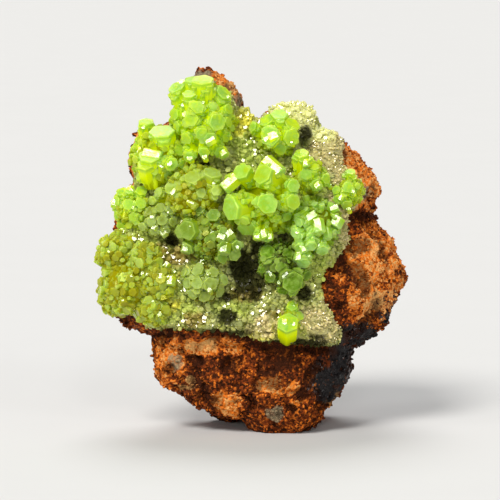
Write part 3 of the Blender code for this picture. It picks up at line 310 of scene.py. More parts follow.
# The clusters. Each crystal is (u, v, w, radius) at the middle of its end face and grows out from
# the cluster's root. One that doesn't fan out from there also has (lean_u, lean_v): how far its end
# leans to the right and up for each millimetre that it grows towards the viewer.
CLUSTERS = {
    "centre_cluster": {
        "root": (2.7, 43.2, -8.0),
        "crystals": [
            (-3.8, 42.7, -19.0, 2.7, -1.3, -0.1), (3.2, 43.6, -22.5, 2.1),
            (2.3, 49.3, -20.5, 2.4, -0.75, 0.5), (-1.7, 49.8, -18.0, 1.7, -0.5, 0.6),
            (8.3, 47.0, -19.5, 1.4, 0.5, 0.3), (8.2, 44.0, -20.5, 1.6, 0.45, 0.0),
            (-4.2, 47.4, -17.5, 1.1, -0.9, -0.5), (-0.6, 38.9, -17.0, 1.9, -0.2, -0.9),
            (1.4, 37.4, -17.5, 0.9, -0.2, -0.9), (3.3, 36.9, -17.0, 1.0, 0.1, -1.0),
            (5.1, 40.8, -18.0, 1.0), (7.1, 41.2, -16.5, 1.0, 0.4, -0.3),
        ],
    },
    "crown_cluster": {
        "root": (-9.0, 59.0, -6.0),
        "crystals": [
            (-14.0, 66.2, -12.0, 2.0, -0.6, 1.4), (-9.0, 67.4, -13.5, 2.4, 0.0, 1.9),
            (-4.9, 65.0, -12.0, 1.9, 0.9, 1.0), (-11.6, 64.6, -15.0, 1.3, -0.1, 1.2),
            (-9.9, 61.9, -18.0, 1.5, 0.0, 0.3), (-7.0, 62.2, -17.0, 1.0, 0.2, 0.4),
            (-6.1, 59.1, -18.0, 1.8), (-11.2, 59.7, -17.5, 1.6),
            (-14.5, 60.8, -13.0, 1.3, -1.2, 0.2), (-4.0, 61.8, -13.0, 1.3, 1.0, 0.2),
            (-4.0, 59.3, -13.5, 1.1), (-12.2, 56.0, -16.0, 1.4), (-14.2, 58.4, -13.0, 1.2),
            (-9.2, 56.8, -18.0, 1.3), (-7.5, 55.9, -17.5, 1.3), (-4.4, 56.4, -14.5, 1.2),
            (-5.7, 53.4, -15.0, 1.3, 0.5, -0.7), (-8.7, 53.3, -16.5, 1.2, 0.0, -0.7),
            (-11.6, 52.5, -15.5, 1.2, -0.2, -0.6),
        ],
    },
    "spray_cluster": {
        "root": (12.0, 39.5, -8.0),
        "crystals": [
            (9.1, 40.1, -18.0, 1.1, -0.9, -0.6), (8.5, 38.0, -17.5, 1.2, -0.9, -0.4),
            (12.6, 38.2, -18.5, 1.0, 0.0, -0.9), (13.8, 34.7, -16.5, 1.3, 0.15, -1.0),
            (10.1, 32.3, -16.5, 1.6, -0.1, -1.0), (11.6, 35.6, -18.0, 1.3, 0.0, -0.8),
            (9.4, 35.2, -17.0, 1.2, -0.4, -0.9), (15.3, 40.1, -14.5, 1.2, 0.9, 0.1),
            (14.9, 42.0, -14.0, 1.1, 0.7, 0.6), (11.3, 42.2, -16.0, 1.1, -0.2, 0.8),
        ],
    },
    "lower_spray_cluster": {
        "root": (5.8, 32.6, -8.0),
        "crystals": [
            (3.3, 34.6, -16.0, 1.8, -0.3, 0.6), (7.2, 34.3, -16.0, 1.2, 0.2, 0.5),
            (8.1, 28.8, -18.0, 2.1, 0.2, -0.3), (3.8, 29.6, -15.5, 1.2, -0.4, -0.5),
            (11.0, 30.0, -14.5, 1.1, 0.8, -0.3), (2.3, 31.4, -14.5, 1.2, -0.8, 0.0),
            (5.9, 31.6, -17.0, 1.3), (6.2, 27.0, -14.5, 1.1, 0.0, -0.8),
        ],
    },
    "inner_cluster": {
        "root": (-7.3, 37.8, -8.0),
        "crystals": [
            (-12.0, 38.7, -17.0, 2.0, -0.7, -0.1), (-12.1, 42.2, -15.0, 1.1, -0.6, 0.6),
            (-9.5, 42.7, -16.0, 1.2, -0.3, 0.7), (-6.9, 41.6, -16.5, 1.3, 0.0, 0.4),
            (-8.7, 39.7, -16.5, 1.2), (-7.5, 37.0, -17.5, 1.3),
            (-12.0, 35.1, -15.5, 1.2, -0.5, -0.5), (-5.1, 35.7, -18.0, 1.0, 0.1, -0.3),
            (-2.4, 35.7, -17.0, 1.2, 0.5, -0.2), (-2.8, 33.9, -16.0, 1.3, 0.4, -0.4),
            (-5.3, 33.3, -16.0, 1.2, 0.0, -0.5), (-5.0, 38.4, -17.5, 1.1),
        ],
    },
    "shoulder_cluster": {
        "root": (-17.3, 52.6, -4.0),
        "crystals": [
            (-19.9, 59.6, -9.5, 1.6, 0.0, 2.0), (-16.9, 57.6, -13.0, 2.6, -0.2, 1.7),
            (-21.2, 55.6, -9.0, 1.2, -0.6, 1.2), (-19.0, 52.9, -15.0, 2.4, -0.1, 1.3),
            (-21.4, 51.0, -10.0, 1.2, -0.8, 0.3), (-14.9, 51.1, -16.0, 1.4, 0.2, -0.2),
            (-18.1, 49.1, -13.5, 1.4, -0.1, -0.5), (-15.4, 48.9, -13.5, 1.2, 0.2, -0.5),
            (-13.5, 54.0, -13.0, 1.2, 0.5, 0.3), (-12.7, 51.2, -13.0, 1.0, 0.7, -0.1),
        ],
    },
    "arch_cluster": {
        "root": (-11.2, 45.7, -7.0),
        "crystals": [
            (-11.0, 48.8, -17.0, 1.8, -0.2, 0.8), (-7.2, 49.7, -16.0, 1.8, 0.3, 1.4),
            (-6.3, 46.2, -17.5, 1.2, 0.4, 0.1), (-9.2, 45.7, -17.0, 1.2),
            (-15.0, 46.8, -15.5, 1.5, -0.5, 0.4), (-17.6, 45.9, -13.5, 1.1, -0.9, 0.2),
            (-12.9, 45.0, -15.5, 1.1), (-18.8, 44.3, -13.0, 1.0, -0.9, -0.1),
        ],
    },
    "upper_cluster": {
        "root": (5.4, 56.1, -7.0),
        "crystals": [
            (3.1, 59.8, -13.0, 1.6, -0.5, 0.9), (5.6, 60.9, -13.5, 1.7, -0.1, 1.2),
            (8.1, 58.9, -14.0, 1.6, 0.5, 0.7), (7.9, 56.3, -15.5, 1.8, 0.4, -0.1),
            (3.8, 56.5, -16.5, 1.9, -0.3, 0.1), (5.8, 54.0, -15.0, 1.2, 0.1, -0.5),
            (0.4, 58.4, -11.5, 1.0, -0.9, 0.4),
        ],
    },
    "right_shoulder_cluster": {
        "root": (11.2, 48.8, -8.0),
        "crystals": [
            (9.8, 53.4, -15.0, 1.6, -0.1, 1.4), (12.1, 50.9, -14.5, 1.3, 0.3, 1.0),
            (10.6, 49.3, -15.5, 1.2), (12.6, 47.3, -14.5, 1.2, 0.7, -0.5),
            (14.6, 48.5, -13.0, 1.1, 0.9, 0.1),
        ],
    },
    "edge_sprig": {
        "root": (18.7, 46.1, -6.0),
        "crystals": [
            (19.3, 50.0, -11.0, 1.1, 0.1, 1.3), (18.7, 46.9, -13.0, 1.3, 0.0, 0.4),
            (19.9, 45.7, -11.5, 1.1, 0.6, 0.0), (16.7, 44.5, -12.5, 1.1, -0.5, -0.2),
            (18.5, 43.4, -11.5, 1.2, 0.1, -0.8), (16.4, 46.4, -12.0, 1.0, -0.6, 0.3),
        ],
    },
    "lone_barrel": {
        "root": (7.5, 21.6, -7.5),
        "crystals": [
            (7.1, 21.2, -17.0, 2.2, 0.0, 0.55), (8.1, 24.4, -14.5, 1.2, 0.1, 0.6),
            (9.6, 22.4, -14.0, 1.0, 0.7, 0.4),
        ],
    },
    "left_rosette": {
        "root": (-21.8, 42.2, -4.0),
        "crystals": [
            (-26.0, 44.0, -9.0, 1.4, -1.2, 0.4), (-24.6, 46.2, -10.0, 1.1, -0.6, 0.9),
            (-23.0, 46.3, -11.5, 1.0, 0.0, 1.0), (-20.7, 46.3, -11.5, 1.3, 0.3, 0.8),
            (-23.3, 43.6, -13.0, 1.2), (-20.8, 43.8, -13.0, 1.2),
            (-25.4, 41.4, -9.5, 1.2, -0.9, -0.3), (-24.8, 39.3, -9.5, 1.1, -0.7, -0.7),
            (-22.3, 41.1, -13.0, 1.1),
        ],
    },
    "mid_left_cluster": {
        "root": (-17.3, 40.5, -7.0),
        "crystals": [
            (-19.2, 42.4, -14.0, 1.0), (-17.1, 43.0, -14.5, 1.1), (-15.0, 42.6, -14.5, 1.2),
            (-18.8, 40.3, -15.0, 1.1), (-16.7, 40.5, -15.5, 1.1), (-14.6, 40.3, -14.5, 1.0),
            (-20.6, 39.3, -14.0, 1.0), (-18.3, 38.4, -14.5, 1.0), (-16.0, 38.4, -14.5, 1.0),
        ],
    },
    "lower_rosette": {
        "root": (-8.5, 28.4, -8.5),
        "crystals": [
            (-10.0, 28.6, -18.0, 1.4), (-7.5, 28.4, -18.0, 1.3), (-12.1, 28.6, -15.5, 1.2),
            (-10.0, 31.1, -16.5, 1.3), (-6.9, 30.7, -16.5, 1.3), (-4.8, 29.3, -15.0, 1.2),
            (-5.6, 26.8, -15.0, 1.2), (-8.5, 26.1, -16.5, 1.2), (-11.0, 26.4, -15.5, 1.2),
            (-12.7, 30.7, -14.5, 1.1),
        ],
    },
}
BOTRYOID_DOMES = [
    (-23.0, 28.0, 4.9, 4.4), (-24.6, 33.8, 4.2, 3.6), (-25.3, 26.2, 3.4, 2.6),
    (-20.3, 33.0, 3.2, 3.0), (-17.6, 28.6, 3.4, 3.0), (-18.6, 24.0, 3.1, 2.8),
]
DOME_CRYSTALS = 5
DOME_CRYSTAL_RADII = (0.85, 1.25)
DOME_CRYSTAL_REACH = (1.0, 1.12)
DOME_OPENING = 0.85
DOME_SEED = 11
FAN_DEPTH = 0.5
LEANED_LENGTH = 7.0
HUB_SHARE = 0.62
BARREL_RADIUS = 1.6
BARREL_LENGTH = 2.6
BARREL_WAIST = 0.92
BARREL_BELLY = 1.02
BARREL_SHARE = 0.75
FOOT_WIDTH = 0.7
GOLDEN_ANGLE = math.pi * (3 - math.sqrt(5))
TWIST_SEED = 3

# What the crystals of the clusters are dressed with.
END_STATIONS = [  # the rings (back, width, paleness) of an end, from its middle, in radii of its crystal
    (0.015, 0.45, 0.0), (0.01, 0.8, 0.05), (0.0, 0.94, 0.45), (0.03, 0.98, 0.6), (0.1, 1.0, 0.1),
]
SMALL_END_STATIONS = [(0.0, 0.9, 0.45), (0.1, 1.0, 0.35)]
SIBLING_RADII = (0.45, 0.8)  # large crystals along their neighbour, in its radii
SIBLING_REACH = (0.8, 0.97)  # in its lengths
SIBLING_SPREAD = (0.5, 1.05)  # how far aside their ends are, in its radii
SIBLING_FOOT = 0.7  # the share of that at their feet
SIBLING_START = 0.3  # where they start, in its lengths
SMALL_SIBLINGS = 3
CORNER_CUT = 0.085  # of a side, taken off each corner
CORNER_ROUNDING = 0.03
CORNER_UNEVENNESS = 0.08
SECTION_STRETCH = (-0.13, 0.1)
GROWTH_SEED = 29
COMPANION_RADII = (0.2, 0.42)  # small crystals that grew along with a larger one, in its radii
COMPANION_DROPS = (0.05, 1.3)
COMPANION_TURN = 0.4  # of the step between two of them
COMPANION_SINK = (0.15, 0.75)  # in their own radii
COMPANION_SPLAY = (0.0, 0.3)
COMPANION_LENGTH = 2.2
SHOOTS_ON_LARGE = 12  # short crystals around the lower part of a crystal that isn't alone
SHOOTS_ON_SMALL = 5
SHOOT_RADII = (0.2, 0.42)
SHOOT_OUT = (0.85, 1.2)
SHOOT_UP = (0.4, 1.3)
SHOOT_SPAN = 0.5  # the share of the large one that they stand on
FILL_RADII = (0.32, 0.95)
FILL_BIAS = 1.3  # above 1, small crystals are more common than large ones
FILL_REACH = (0.96, 1.34)  # in radii of the lump that they grow from
FILL_LEAN = 0.6
FILL_ROOT = 1.2  # how deep they go into the lump
FILL_OPENING = 1.5  # 1 covers the half of a lump that faces the viewer, 2 all of it
FILL_STAND = 1.4  # the most that they stand out of their lump
FILL_CLEARANCE = 0.3  # how far one may reach into a large crystal, in its own radii
FILL_COMPANIONS = 2
DOME_FILL_RADII = (0.42, 1.15)
DOME_FILL_REACH = (0.97, 1.25)
LIT_TINT = 1.2  # marks a crystal that mirrors the main light
TINTS = {  # how clear the crystals of each kind are: 0 is as dull as the feet
    "main": (0.65, 1.0), "grown": (0.5, 1.0), "fill": (0.0, 0.75), "lit": (LIT_TINT, LIT_TINT),
}
SHARP_ANGLE = math.radians(36)
FLATNESS = 80  # how strongly a wide face keeps its own direction beside a narrow one
LUMP_ROUNDS = 4
LUMP_MASKS = {"depth": 9.0, "rim": 0.0, "end": 0.0, "tint": 0.0}

# Faces that catch the main light: (u, v, width) of an end face, or (u, v, width, length, angle) of a
# side face, whose angle is the crystal's own, anticlockwise from the right.
LIT_FACES = {
    "crown_cluster": [
        (-13.0, 66.8, 1.9), (-12.8, 62.6, 1.1), (-12.3, 60.7, 1.4), (-8.7, 52.7, 1.2), (-11.5, 52.5, 1.4),
        (-7.7, 55.9, 1.0, 1.9, 30), (-5.8, 55.6, 0.5, 1.0, -15), (-4.1, 56.9, 0.9),
        (-7.2, 54.2, 0.4, 1.9, 60), (-5.3, 53.7, 1.0, 1.8, -60), (-8.9, 63.0, 0.7), (-4.3, 64.2, 0.8),
    ],
    "shoulder_cluster": [
        (-18.8, 52.9, 2.2, 3.6, -14), (-15.3, 51.4, 1.3), (-17.0, 50.9, 0.4, 1.1, -30),
        (-20.4, 58.4, 0.9), (-21.0, 54.2, 0.8, 2.0, 80),
    ],
    "left_rosette": [
        (-26.1, 44.1, 1.6), (-23.0, 46.4, 0.9, 1.5, -60), (-21.6, 47.7, 0.6, 1.2, 0),
        (-24.4, 38.8, 1.0, 2.0, 50), (-22.4, 43.0, 0.7),
    ],
    "arch_cluster": [(-11.3, 44.0, 0.4, 1.6, -25), (-6.9, 47.6, 0.8), (-14.6, 46.0, 0.7, 1.4, 50)],
    "centre_cluster": [
        (-4.0, 47.9, 1.5, 3.4, 42), (-3.8, 45.9, 0.4, 1.4, 35), (4.1, 50.9, 1.6, 4.2, -42),
        (1.3, 37.6, 0.9, 1.2, 80), (2.5, 38.0, 1.0, 1.6, -70), (3.75, 37.5, 0.6, 1.1, 90),
        (3.1, 39.5, 0.8), (5.3, 40.9, 0.9), (-2.6, 39.1, 0.9, 1.3, 60), (8.2, 49.3, 0.6),
    ],
    "inner_cluster": [
        (-11.9, 42.5, 1.0, 1.3, 20), (-7.4, 43.3, 0.7, 1.9, -20), (-7.1, 38.3, 0.7, 1.6, -35),
        (-4.5, 37.8, 1.2, 2.6, 38), (-5.4, 37.5, 1.0, 1.6, -20), (-5.0, 35.5, 1.2, 2.1, 82),
        (-2.6, 35.6, 0.5, 1.2, -30), (-12.3, 35.3, 1.1, 1.4, 70), (-11.3, 39.5, 0.7),
        (-9.0, 33.1, 0.4, 0.9, 20),
    ],
    "mid_left_cluster": [
        (-16.6, 39.3, 0.4, 0.9, -20), (-16.5, 38.2, 0.8, 1.2, 35), (-18.3, 39.3, 0.7, 1.0, 60),
        (-21.1, 38.4, 0.9), (-15.6, 42.1, 0.5), (-18.6, 41.2, 0.5, 0.9, 0),
    ],
    "spray_cluster": [
        (11.0, 41.0, 1.3, 3.4, 35), (12.8, 39.7, 1.2, 2.7, -80), (14.4, 38.4, 1.0, 2.5, -86),
        (8.9, 38.3, 0.8), (9.9, 35.5, 0.8, 1.9, -62), (9.2, 33.8, 0.8, 1.6, 85), (10.8, 34.2, 0.7, 1.5, -70),
        (11.1, 31.3, 1.2), (16.3, 40.5, 1.3, 2.0, 60), (16.0, 43.0, 0.9, 1.6, 20), (13.3, 36.0, 0.5, 1.2, 70),
    ],
    "lower_spray_cluster": [(5.5, 28.8, 0.9), (6.6, 30.2, 0.5, 1.4, 40), (3.75, 30.5, 0.5, 1.2, -50)],
    "right_shoulder_cluster": [(12.6, 47.5, 1.0, 1.7, -60), (15.1, 47.4, 0.9), (10.5, 51.5, 0.8, 1.4, -80)],
    "edge_sprig": [(18.8, 42.9, 1.0), (19.6, 46.1, 0.8), (17.2, 44.9, 0.5, 1.0, 60)],
    "upper_cluster": [
        (4.4, 56.7, 1.5, 1.9, 20), (3.0, 56.0, 0.8, 1.1, 35), (5.4, 59.6, 0.7), (7.9, 55.4, 0.6),
    ],
    "lone_barrel": [(6.5, 21.3, 0.9, 1.2, 85), (8.3, 20.9, 0.5, 0.8, 70), (8.3, 24.2, 0.6)],
    "lower_rosette": [
        (-12.5, 27.6, 0.7, 1.3, -50), (-7.7, 27.4, 1.0), (-12.3, 25.4, 0.6), (-10.7, 33.0, 0.7, 1.1, 10),
        (-7.9, 30.4, 0.4, 0.8, 40),
    ],
    "left_botryoid": [
        (-20.6, 30.7, 0.8, 1.3, 80), (-19.6, 30.3, 0.7), (-17.0, 30.0, 0.6, 1.1, 80),
        (-15.4, 29.2, 1.1, 1.7, 85), (-16.0, 32.2, 0.7, 1.1, 50), (-14.5, 31.0, 0.5, 1.0, -60),
        (-17.3, 22.8, 1.1), (-15.2, 21.8, 0.5, 1.3, -25), (-14.3, 26.1, 0.4, 1.1, -40),
        (-23.0, 32.4, 0.8, 1.4, 45), (-26.5, 28.2, 0.6), (-24.2, 25.3, 0.6), (-18.4, 25.1, 0.7),
        (-22.6, 30.0, 0.5), (-27.0, 34.6, 0.6),
    ],
}
LIT_RAISE = 0.25  # how far they stand out from the crystals around them
LIT_DEPTH = 2.0
LOOK_DEPTHS = (-26.0, -4.0, 0.2)  # where a look into a cluster starts and stops, and its step
LOOK_WIDTH = 0.95  # of a crystal's radius, within which a look meets it

# Each cluster's colours, how many crystals cover each of its lumps, and how many grow along a large
# crystal. Where none do, no smaller ones grow along it either.
CLUSTER_LOOKS = {
    "centre_cluster": ("vivid", 150, 1), "crown_cluster": ("bright", 210, 3),
    "spray_cluster": ("fresh", 165, 4), "lower_spray_cluster": ("dark", 135, 3),
    "inner_cluster": ("deep", 195, 3), "shoulder_cluster": ("bright", 170, 2),
    "arch_cluster": ("golden", 165, 2), "upper_cluster": ("bright", 120, 2),
    "right_shoulder_cluster": ("bright", 105, 3), "edge_sprig": ("bright", 90, 3),
    "lone_barrel": ("bright", 60, 0), "left_rosette": ("bright", 135, 3),
    "mid_left_cluster": ("olive", 195, 3), "lower_rosette": ("olive", 195, 4),
    "left_botryoid": ("golden", 150, 4),
}


def colour_property(name, description, default):
    return FloatVectorProperty(
        name=name, description=description, subtype="COLOR", size=3, min=0.0, max=1.0, default=default
    )


def length_property(name, description, default, low, high):
    return FloatProperty(
        name=name, description=description, default=default, min=low, max=high,
        subtype="DISTANCE", unit="LENGTH",
    )


def factor_property(name, description, low, high):
    return FloatProperty(
        name=name, description=description, default=1.0, min=low, max=high, subtype="FACTOR"
    )


def light_property(name, description, default):
    return FloatProperty(name=name, description=description, default=default, min=0.0)


class StoneSettings(bpy.types.PropertyGroup):
    """The rusty limonite and the crumbs that lie on it."""

    cells: IntProperty(
        name="Cells", description="Squares along each side of the stone's faces", default=214, min=20, max=220
    )
    relief: factor_property("Relief", "Height of the crumbly surface", 0.0, 2.0)
    crumbs: IntProperty(
        name="Crumbs", description="How many loose-looking grains sit on the stone", default=4200, min=0
    )
    crumb_size: length_property("Crumb size", "Radius of the largest crumbs", 0.5 * MM, 0.1 * MM, 2 * MM)
    rust: colour_property("Rust", "The red-brown of most of the stone", (0.22, 0.039, 0.004))
    orange: colour_property("Orange", "The bright, crumbly limonite", (0.84, 0.215, 0.018))
    # Brown also darkens the pits, cracks and the band under the crust's ledge, partly as their own colour and
    # partly as painted shade
    brown: colour_property("Brown", "The dark brown of pits and cracks", (0.042, 0.009, 0.001))
    black: colour_property("Black", "The glossy manganese lumps", (0.008, 0.006, 0.006))
    ochre: colour_property("Ochre", "The pale patches", (0.82, 0.45, 0.15))
    grey: colour_property("Grey", "The grey patches", (0.3, 0.25, 0.15))


class DruseSettings(bpy.types.PropertyGroup):
    """The crust of small crystals."""

    density: factor_property("Density", "How densely the small crystals stand", 0.0, 1.2)
    size: factor_property("Crystal size", "Width of the small crystals", 0.3, 1.5)
    olive: colour_property("Olive", "Most of the druse", (0.47, 0.5, 0.1))
    grey: colour_property("Grey green", "The duller druse", (0.5, 0.55, 0.2))
    green: colour_property("Green", "The larger prisms at the left and above", (0.5, 0.62, 0.1))
    cream: colour_property("Cream", "The pale druse at the right and below", (0.74, 0.62, 0.3))
    fan: colour_property("Fan", "The pale yellow-green druse at the top", (0.84, 0.86, 0.36))
    # The rusty druse, whose darker tone in the hollows is partly painted shade
    brownish: colour_property("Brownish", "The rusty druse in the hollows", (0.25, 0.18, 0.02))
    ochre: colour_property("Ochre", "The yellow druse", (0.84, 0.76, 0.05))
    # The near-black painted shade of the hollows and of the crust's lower edge
    dark: colour_property("Dark", "The druse of the hollows", (0.007, 0.005, 0.002))


class CrystalSettings(bpy.types.PropertyGroup):
    """The crystals of the clusters."""

    companions: IntProperty(
        name="Companions", description="Small crystals along each large one", default=7, min=0, max=20
    )
    bright_side: colour_property("Bright sides", "Sides of the yellow-green crystals", (0.58, 0.7, 0.0))
    bright_end: colour_property("Bright ends", "End faces of the yellow-green crystals", (0.26, 0.5, 0.05))
    bright_foot: colour_property("Bright feet", "The feet of the yellow-green crystals", (0.27, 0.3, 0.0))
    vivid_side: colour_property("Vivid sides", "Sides of the large middle crystals", (0.4, 0.51, 0.0))
    vivid_end: colour_property("Vivid ends", "End faces of the large middle crystals", (0.28, 0.54, 0.06))
    vivid_foot: colour_property("Vivid feet", "The feet of the large middle crystals", (0.2, 0.24, 0.0))
    golden_side: colour_property("Golden sides", "Sides of the yellow crystals", (0.37, 0.45, 0.0))
    golden_end: colour_property("Golden ends", "End faces of the yellow crystals", (0.31, 0.44, 0.08))
    golden_foot: colour_property("Golden feet", "The feet of the yellow crystals", (0.27, 0.24, 0.0))
    olive_side: colour_property("Olive sides", "Sides of the olive crystals", (0.2, 0.23, 0.0))
    olive_end: colour_property("Olive ends", "End faces of the olive crystals", (0.29, 0.4, 0.1))
    olive_foot: colour_property("Olive feet", "The feet of the olive crystals", (0.12, 0.1, 0.0))
    fresh_side: colour_property("Fresh sides", "Sides of the radiating prisms", (0.22, 0.38, 0.0))
    fresh_end: colour_property("Fresh ends", "End faces of the radiating prisms", (0.36, 0.62, 0.15))
    fresh_foot: colour_property("Fresh feet", "The feet of the radiating prisms", (0.13, 0.16, 0.0))
    deep_side: colour_property("Deep sides", "Sides of the green crystals", (0.19, 0.28, 0.002))
    deep_end: colour_property("Deep ends", "End faces of the green crystals", (0.17, 0.3, 0.045))
    deep_foot: colour_property("Deep feet", "The feet of the green crystals", (0.14, 0.12, 0.0))
    dark_side: colour_property("Dark sides", "Sides of the dark green crystals", (0.03, 0.054, 0.0))
    dark_end: colour_property("Dark ends", "End faces of the dark green crystals", (0.14, 0.28, 0.014))
    dark_foot: colour_property("Dark feet", "The feet of the dark green crystals", (0.025, 0.03, 0.0))
    frost: colour_property("Frost", "The pale rims of the end faces", (0.72, 0.87, 0.26))
    glow_depth: length_property("Glow depth", "How deep light wanders in the crystals", 2.2 * MM, 0.0, 5 * MM)


class StageSettings(bpy.types.PropertyGroup):
    """The floor, the lights and the camera."""

    floor: colour_property("Floor", "Colour of the plain floor", (0.66, 0.655, 0.64))
    key_strength: light_property("Key light", "Strength of the light from the upper left", 2.6)
    top_strength: light_property("Top light", "Strength of the light from above and behind", 1.5)
    front_strength: light_property("Front light", "Strength of the light from the front", 0.45)
    fill_strength: light_property("Fill light", "Strength of the light from the right", 0.5)
    left_strength: light_property("Left light", "Strength of the light from the left", 0.6)
    sky_strength: light_property("Sky", "Strength of the even light from all sides", 0.2)
    distance: length_property("Distance", "From the camera to the specimen", 0.6, 0.1, 10.0)
    lens: FloatProperty(
        name="Lens", description="Focal length for a 36 mm sensor", default=224.6, min=1.0, unit="CAMERA"
    )


class SpecimenSettings(bpy.types.PropertyGroup):
    """All the sizes and colours of the dressed specimen."""

    stone: PointerProperty(type=StoneSettings)
    druse: PointerProperty(type=DruseSettings)
    clusters: PointerProperty(type=CrystalSettings)
    stage: PointerProperty(type=StageSettings)


# The display face's frame, and the smooth forms of the stone.


def stand(points):
    """Points of the display face's frame as the standing specimen has them, in metres."""
    u, v, w = np.asarray(points, float).T
    y = w * math.cos(LEAN) + v * math.sin(LEAN) - DEPTH_SHIFT
    z = v * math.cos(LEAN) - w * math.sin(LEAN)
    return np.stack([u - SIDE_SHIFT, y, z], -1) * MM


def polar(outline, middle, spread=1.0):
    """The outline as angles and radii about its middle, ready for a periodic look-up."""
    offsets = (np.array(outline) - np.array(middle)) * spread
    angles = np.arctan2(offsets[:, 1], offsets[:, 0])
    order = np.argsort(angles)
    return angles[order], np.hypot(offsets[:, 0], offsets[:, 1])[order]


STONE_RIM = polar(STONE_OUTLINE, STONE_MIDDLE, STONE_SPREAD)
CRUST_RIM = polar(CRUST_OUTLINE, CRUST_MIDDLE)


def rim_radius(rim, angle):
    return np.interp(angle, rim[0], rim[1], period=2 * math.pi)


def away_from(middle, reach, angle):
    """The place (u, v) that lies that far from a middle, in that direction."""
    return middle[0] + reach * np.cos(angle), middle[1] + reach * np.sin(angle)


def share_of_rim(rim, middle, u, v):
    """0 at the middle and 1 on the outline."""
    offset_u, offset_v = u - middle[0], v - middle[1]
    return np.hypot(offset_u, offset_v) / rim_radius(rim, np.arctan2(offset_v, offset_u))


def smooth_step(low, high, value):
    share = np.clip((value - low) / (high - low), 0.0, 1.0)
    return share * share * (3 - 2 * share)


def mound(u, v, at_u, at_v, radius):
    """A round swelling: 1 at its top and 0 well outside its radius."""
    return np.exp(-((u - at_u) ** 2 + (v - at_v) ** 2) / radius**2)


def middle_plane(u, v):
    """The depth of the surface that parts the front of the stone from its back."""
    return MIDDLE_SLOPE_V * (v - STONE_MIDDLE[1]) + MIDDLE_SLOPE_U * u


def front_bulge(u, v):
    """How far the front stands out from the middle plane."""
    above_ledge = smooth_step(LEDGE_HEIGHT - LEDGE_SOFTNESS, LEDGE_HEIGHT + LEDGE_SOFTNESS, v)
    bulge = FRONT_BULGE - LEDGE_STEP * (1 - above_ledge)
    bulge = bulge - CROWN_THINNING * smooth_step(*CROWN_HEIGHTS, v)
    for at_u, at_v, radius, height in SWELLINGS:
        bulge = bulge + height * mound(u, v, at_u, at_v, radius)
    return bulge


def back_bulge(u, v):
    return BACK_BULGE + BACK_SLOPE_U * u + BACK_SLOPE_V * (v - STONE_MIDDLE[1])


def front_depth(u, v):
    """The depth of the stone's front before it is roughened."""
    share = np.minimum(share_of_rim(STONE_RIM, STONE_MIDDLE, u, v), SHARE_LIMIT)
    return middle_plane(u, v) - front_bulge(u, v) * (1 - share**FACE_POWER) ** (1 / FACE_POWER)


def disc_grid(cells):
    """A square grid pressed into a disc: each point's distance from the middle, and its angle."""
    steps = np.linspace(-1.0, 1.0, cells + 1)
    across, up = np.meshgrid(steps, steps)
    x = across * np.sqrt(1 - up**2 / 2)
    y = up * np.sqrt(1 - across**2 / 2)
    return np.hypot(x, y), np.arctan2(y, x)


def squares(numbers):
    """The squares of a grid of point numbers, as rows of four."""
    corners = [numbers[:-1, :-1], numbers[:-1, 1:], numbers[1:, 1:], numbers[1:, :-1]]
    return np.stack(corners, -1).reshape(-1, 4)


def two_sided(front, back):
    """Points and squares of a closed body from two grids of points that share their rim."""
    rows = front.shape[0]
    numbers = np.arange(rows * rows).reshape(rows, rows)
    back_numbers = numbers.copy()
    inside = (slice(1, -1), slice(1, -1))
    back_numbers[inside] = rows * rows + np.arange((rows - 2) ** 2).reshape(rows - 2, rows - 2)
    points = np.concatenate([front.reshape(-1, 3), back[inside].reshape(-1, 3)])
    return points, np.concatenate([squares(numbers), squares(back_numbers)[:, ::-1]])


def mesh_of(name, points, faces):
    mesh = bpy.data.meshes.new(name)
    mesh.from_pydata(points.tolist(), [], [list(face) for face in faces])
    mesh.update()
    return mesh


def add_object(name, data):
    made = bpy.data.objects.new(name, data)
    bpy.context.scene.collection.objects.link(made)
    return made


def add_piece(name, mesh, slot, *nodes):
    """A piece of the dressed specimen, that stands for these solids, if any."""
    piece = add_object(name, mesh)
    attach(piece, "root")
    if nodes:
        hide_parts(*nodes)
    return piece


def keep_masks(mesh, domain, masks):
    """Keeps values at the mesh's points or at its faces' corners for its material to read."""
    for name, values in masks.items():
        mask = mesh.attributes.new(name, "FLOAT", domain)
        mask.data.foreach_set("value", np.asarray(values, np.float32))


def cell_height(point, size, height):
    """A rounded lump in each cell of that size, level at KNOB_LEVEL of a cell from its middle."""
    return height * (KNOB_LEVEL - noise.voronoi(point / size)[0][0])


def zone_mask(zones, u, v, rough):
    """1 in the zones and 0 outside, with borders that the roughness breaks up."""
    inside = np.full_like(u, -9.0)
    for at_u, at_v, half_width, half_height in zones:
        away = ((u - at_u) / half_width) ** 2 + ((v - at_v) / half_height) ** 2
        inside = np.maximum(inside, 1 - away)
    return smooth_step(-ZONE_SOFTNESS, ZONE_SOFTNESS, inside + rough)


# The stone.


def base_power(angle):
    """How square the back of the section is in that direction: broad below, rounder elsewhere."""
    return FACE_POWER + (BASE_POWER - FACE_POWER) * smooth_step(*BASE_DIRECTIONS, -np.sin(angle))


def stone_side(distance, angle, power, bulge):
    """One face of the smooth stone, as a grid of points (u, v, w)."""
    out = np.sin(distance * math.pi / 2) ** (2 / power)
    rise = np.cos(distance * math.pi / 2).clip(0) ** (2 / power)
    u, v = away_from(STONE_MIDDLE, rim_radius(STONE_RIM, angle) * out, angle)
    return np.stack([u, v, middle_plane(u, v) + bulge(u, v) * rise], -1)


def normals_of(points, faces):
    """The directions out of a closed body at its points, in the display face's frame."""
    smooth = mesh_of("smooth", points, faces)
    normals = np.zeros(len(points) * 3, np.float32)
    smooth.vertex_normals.foreach_get("vector", normals)
    bpy.data.meshes.remove(smooth)
    return -normals.reshape(-1, 3)


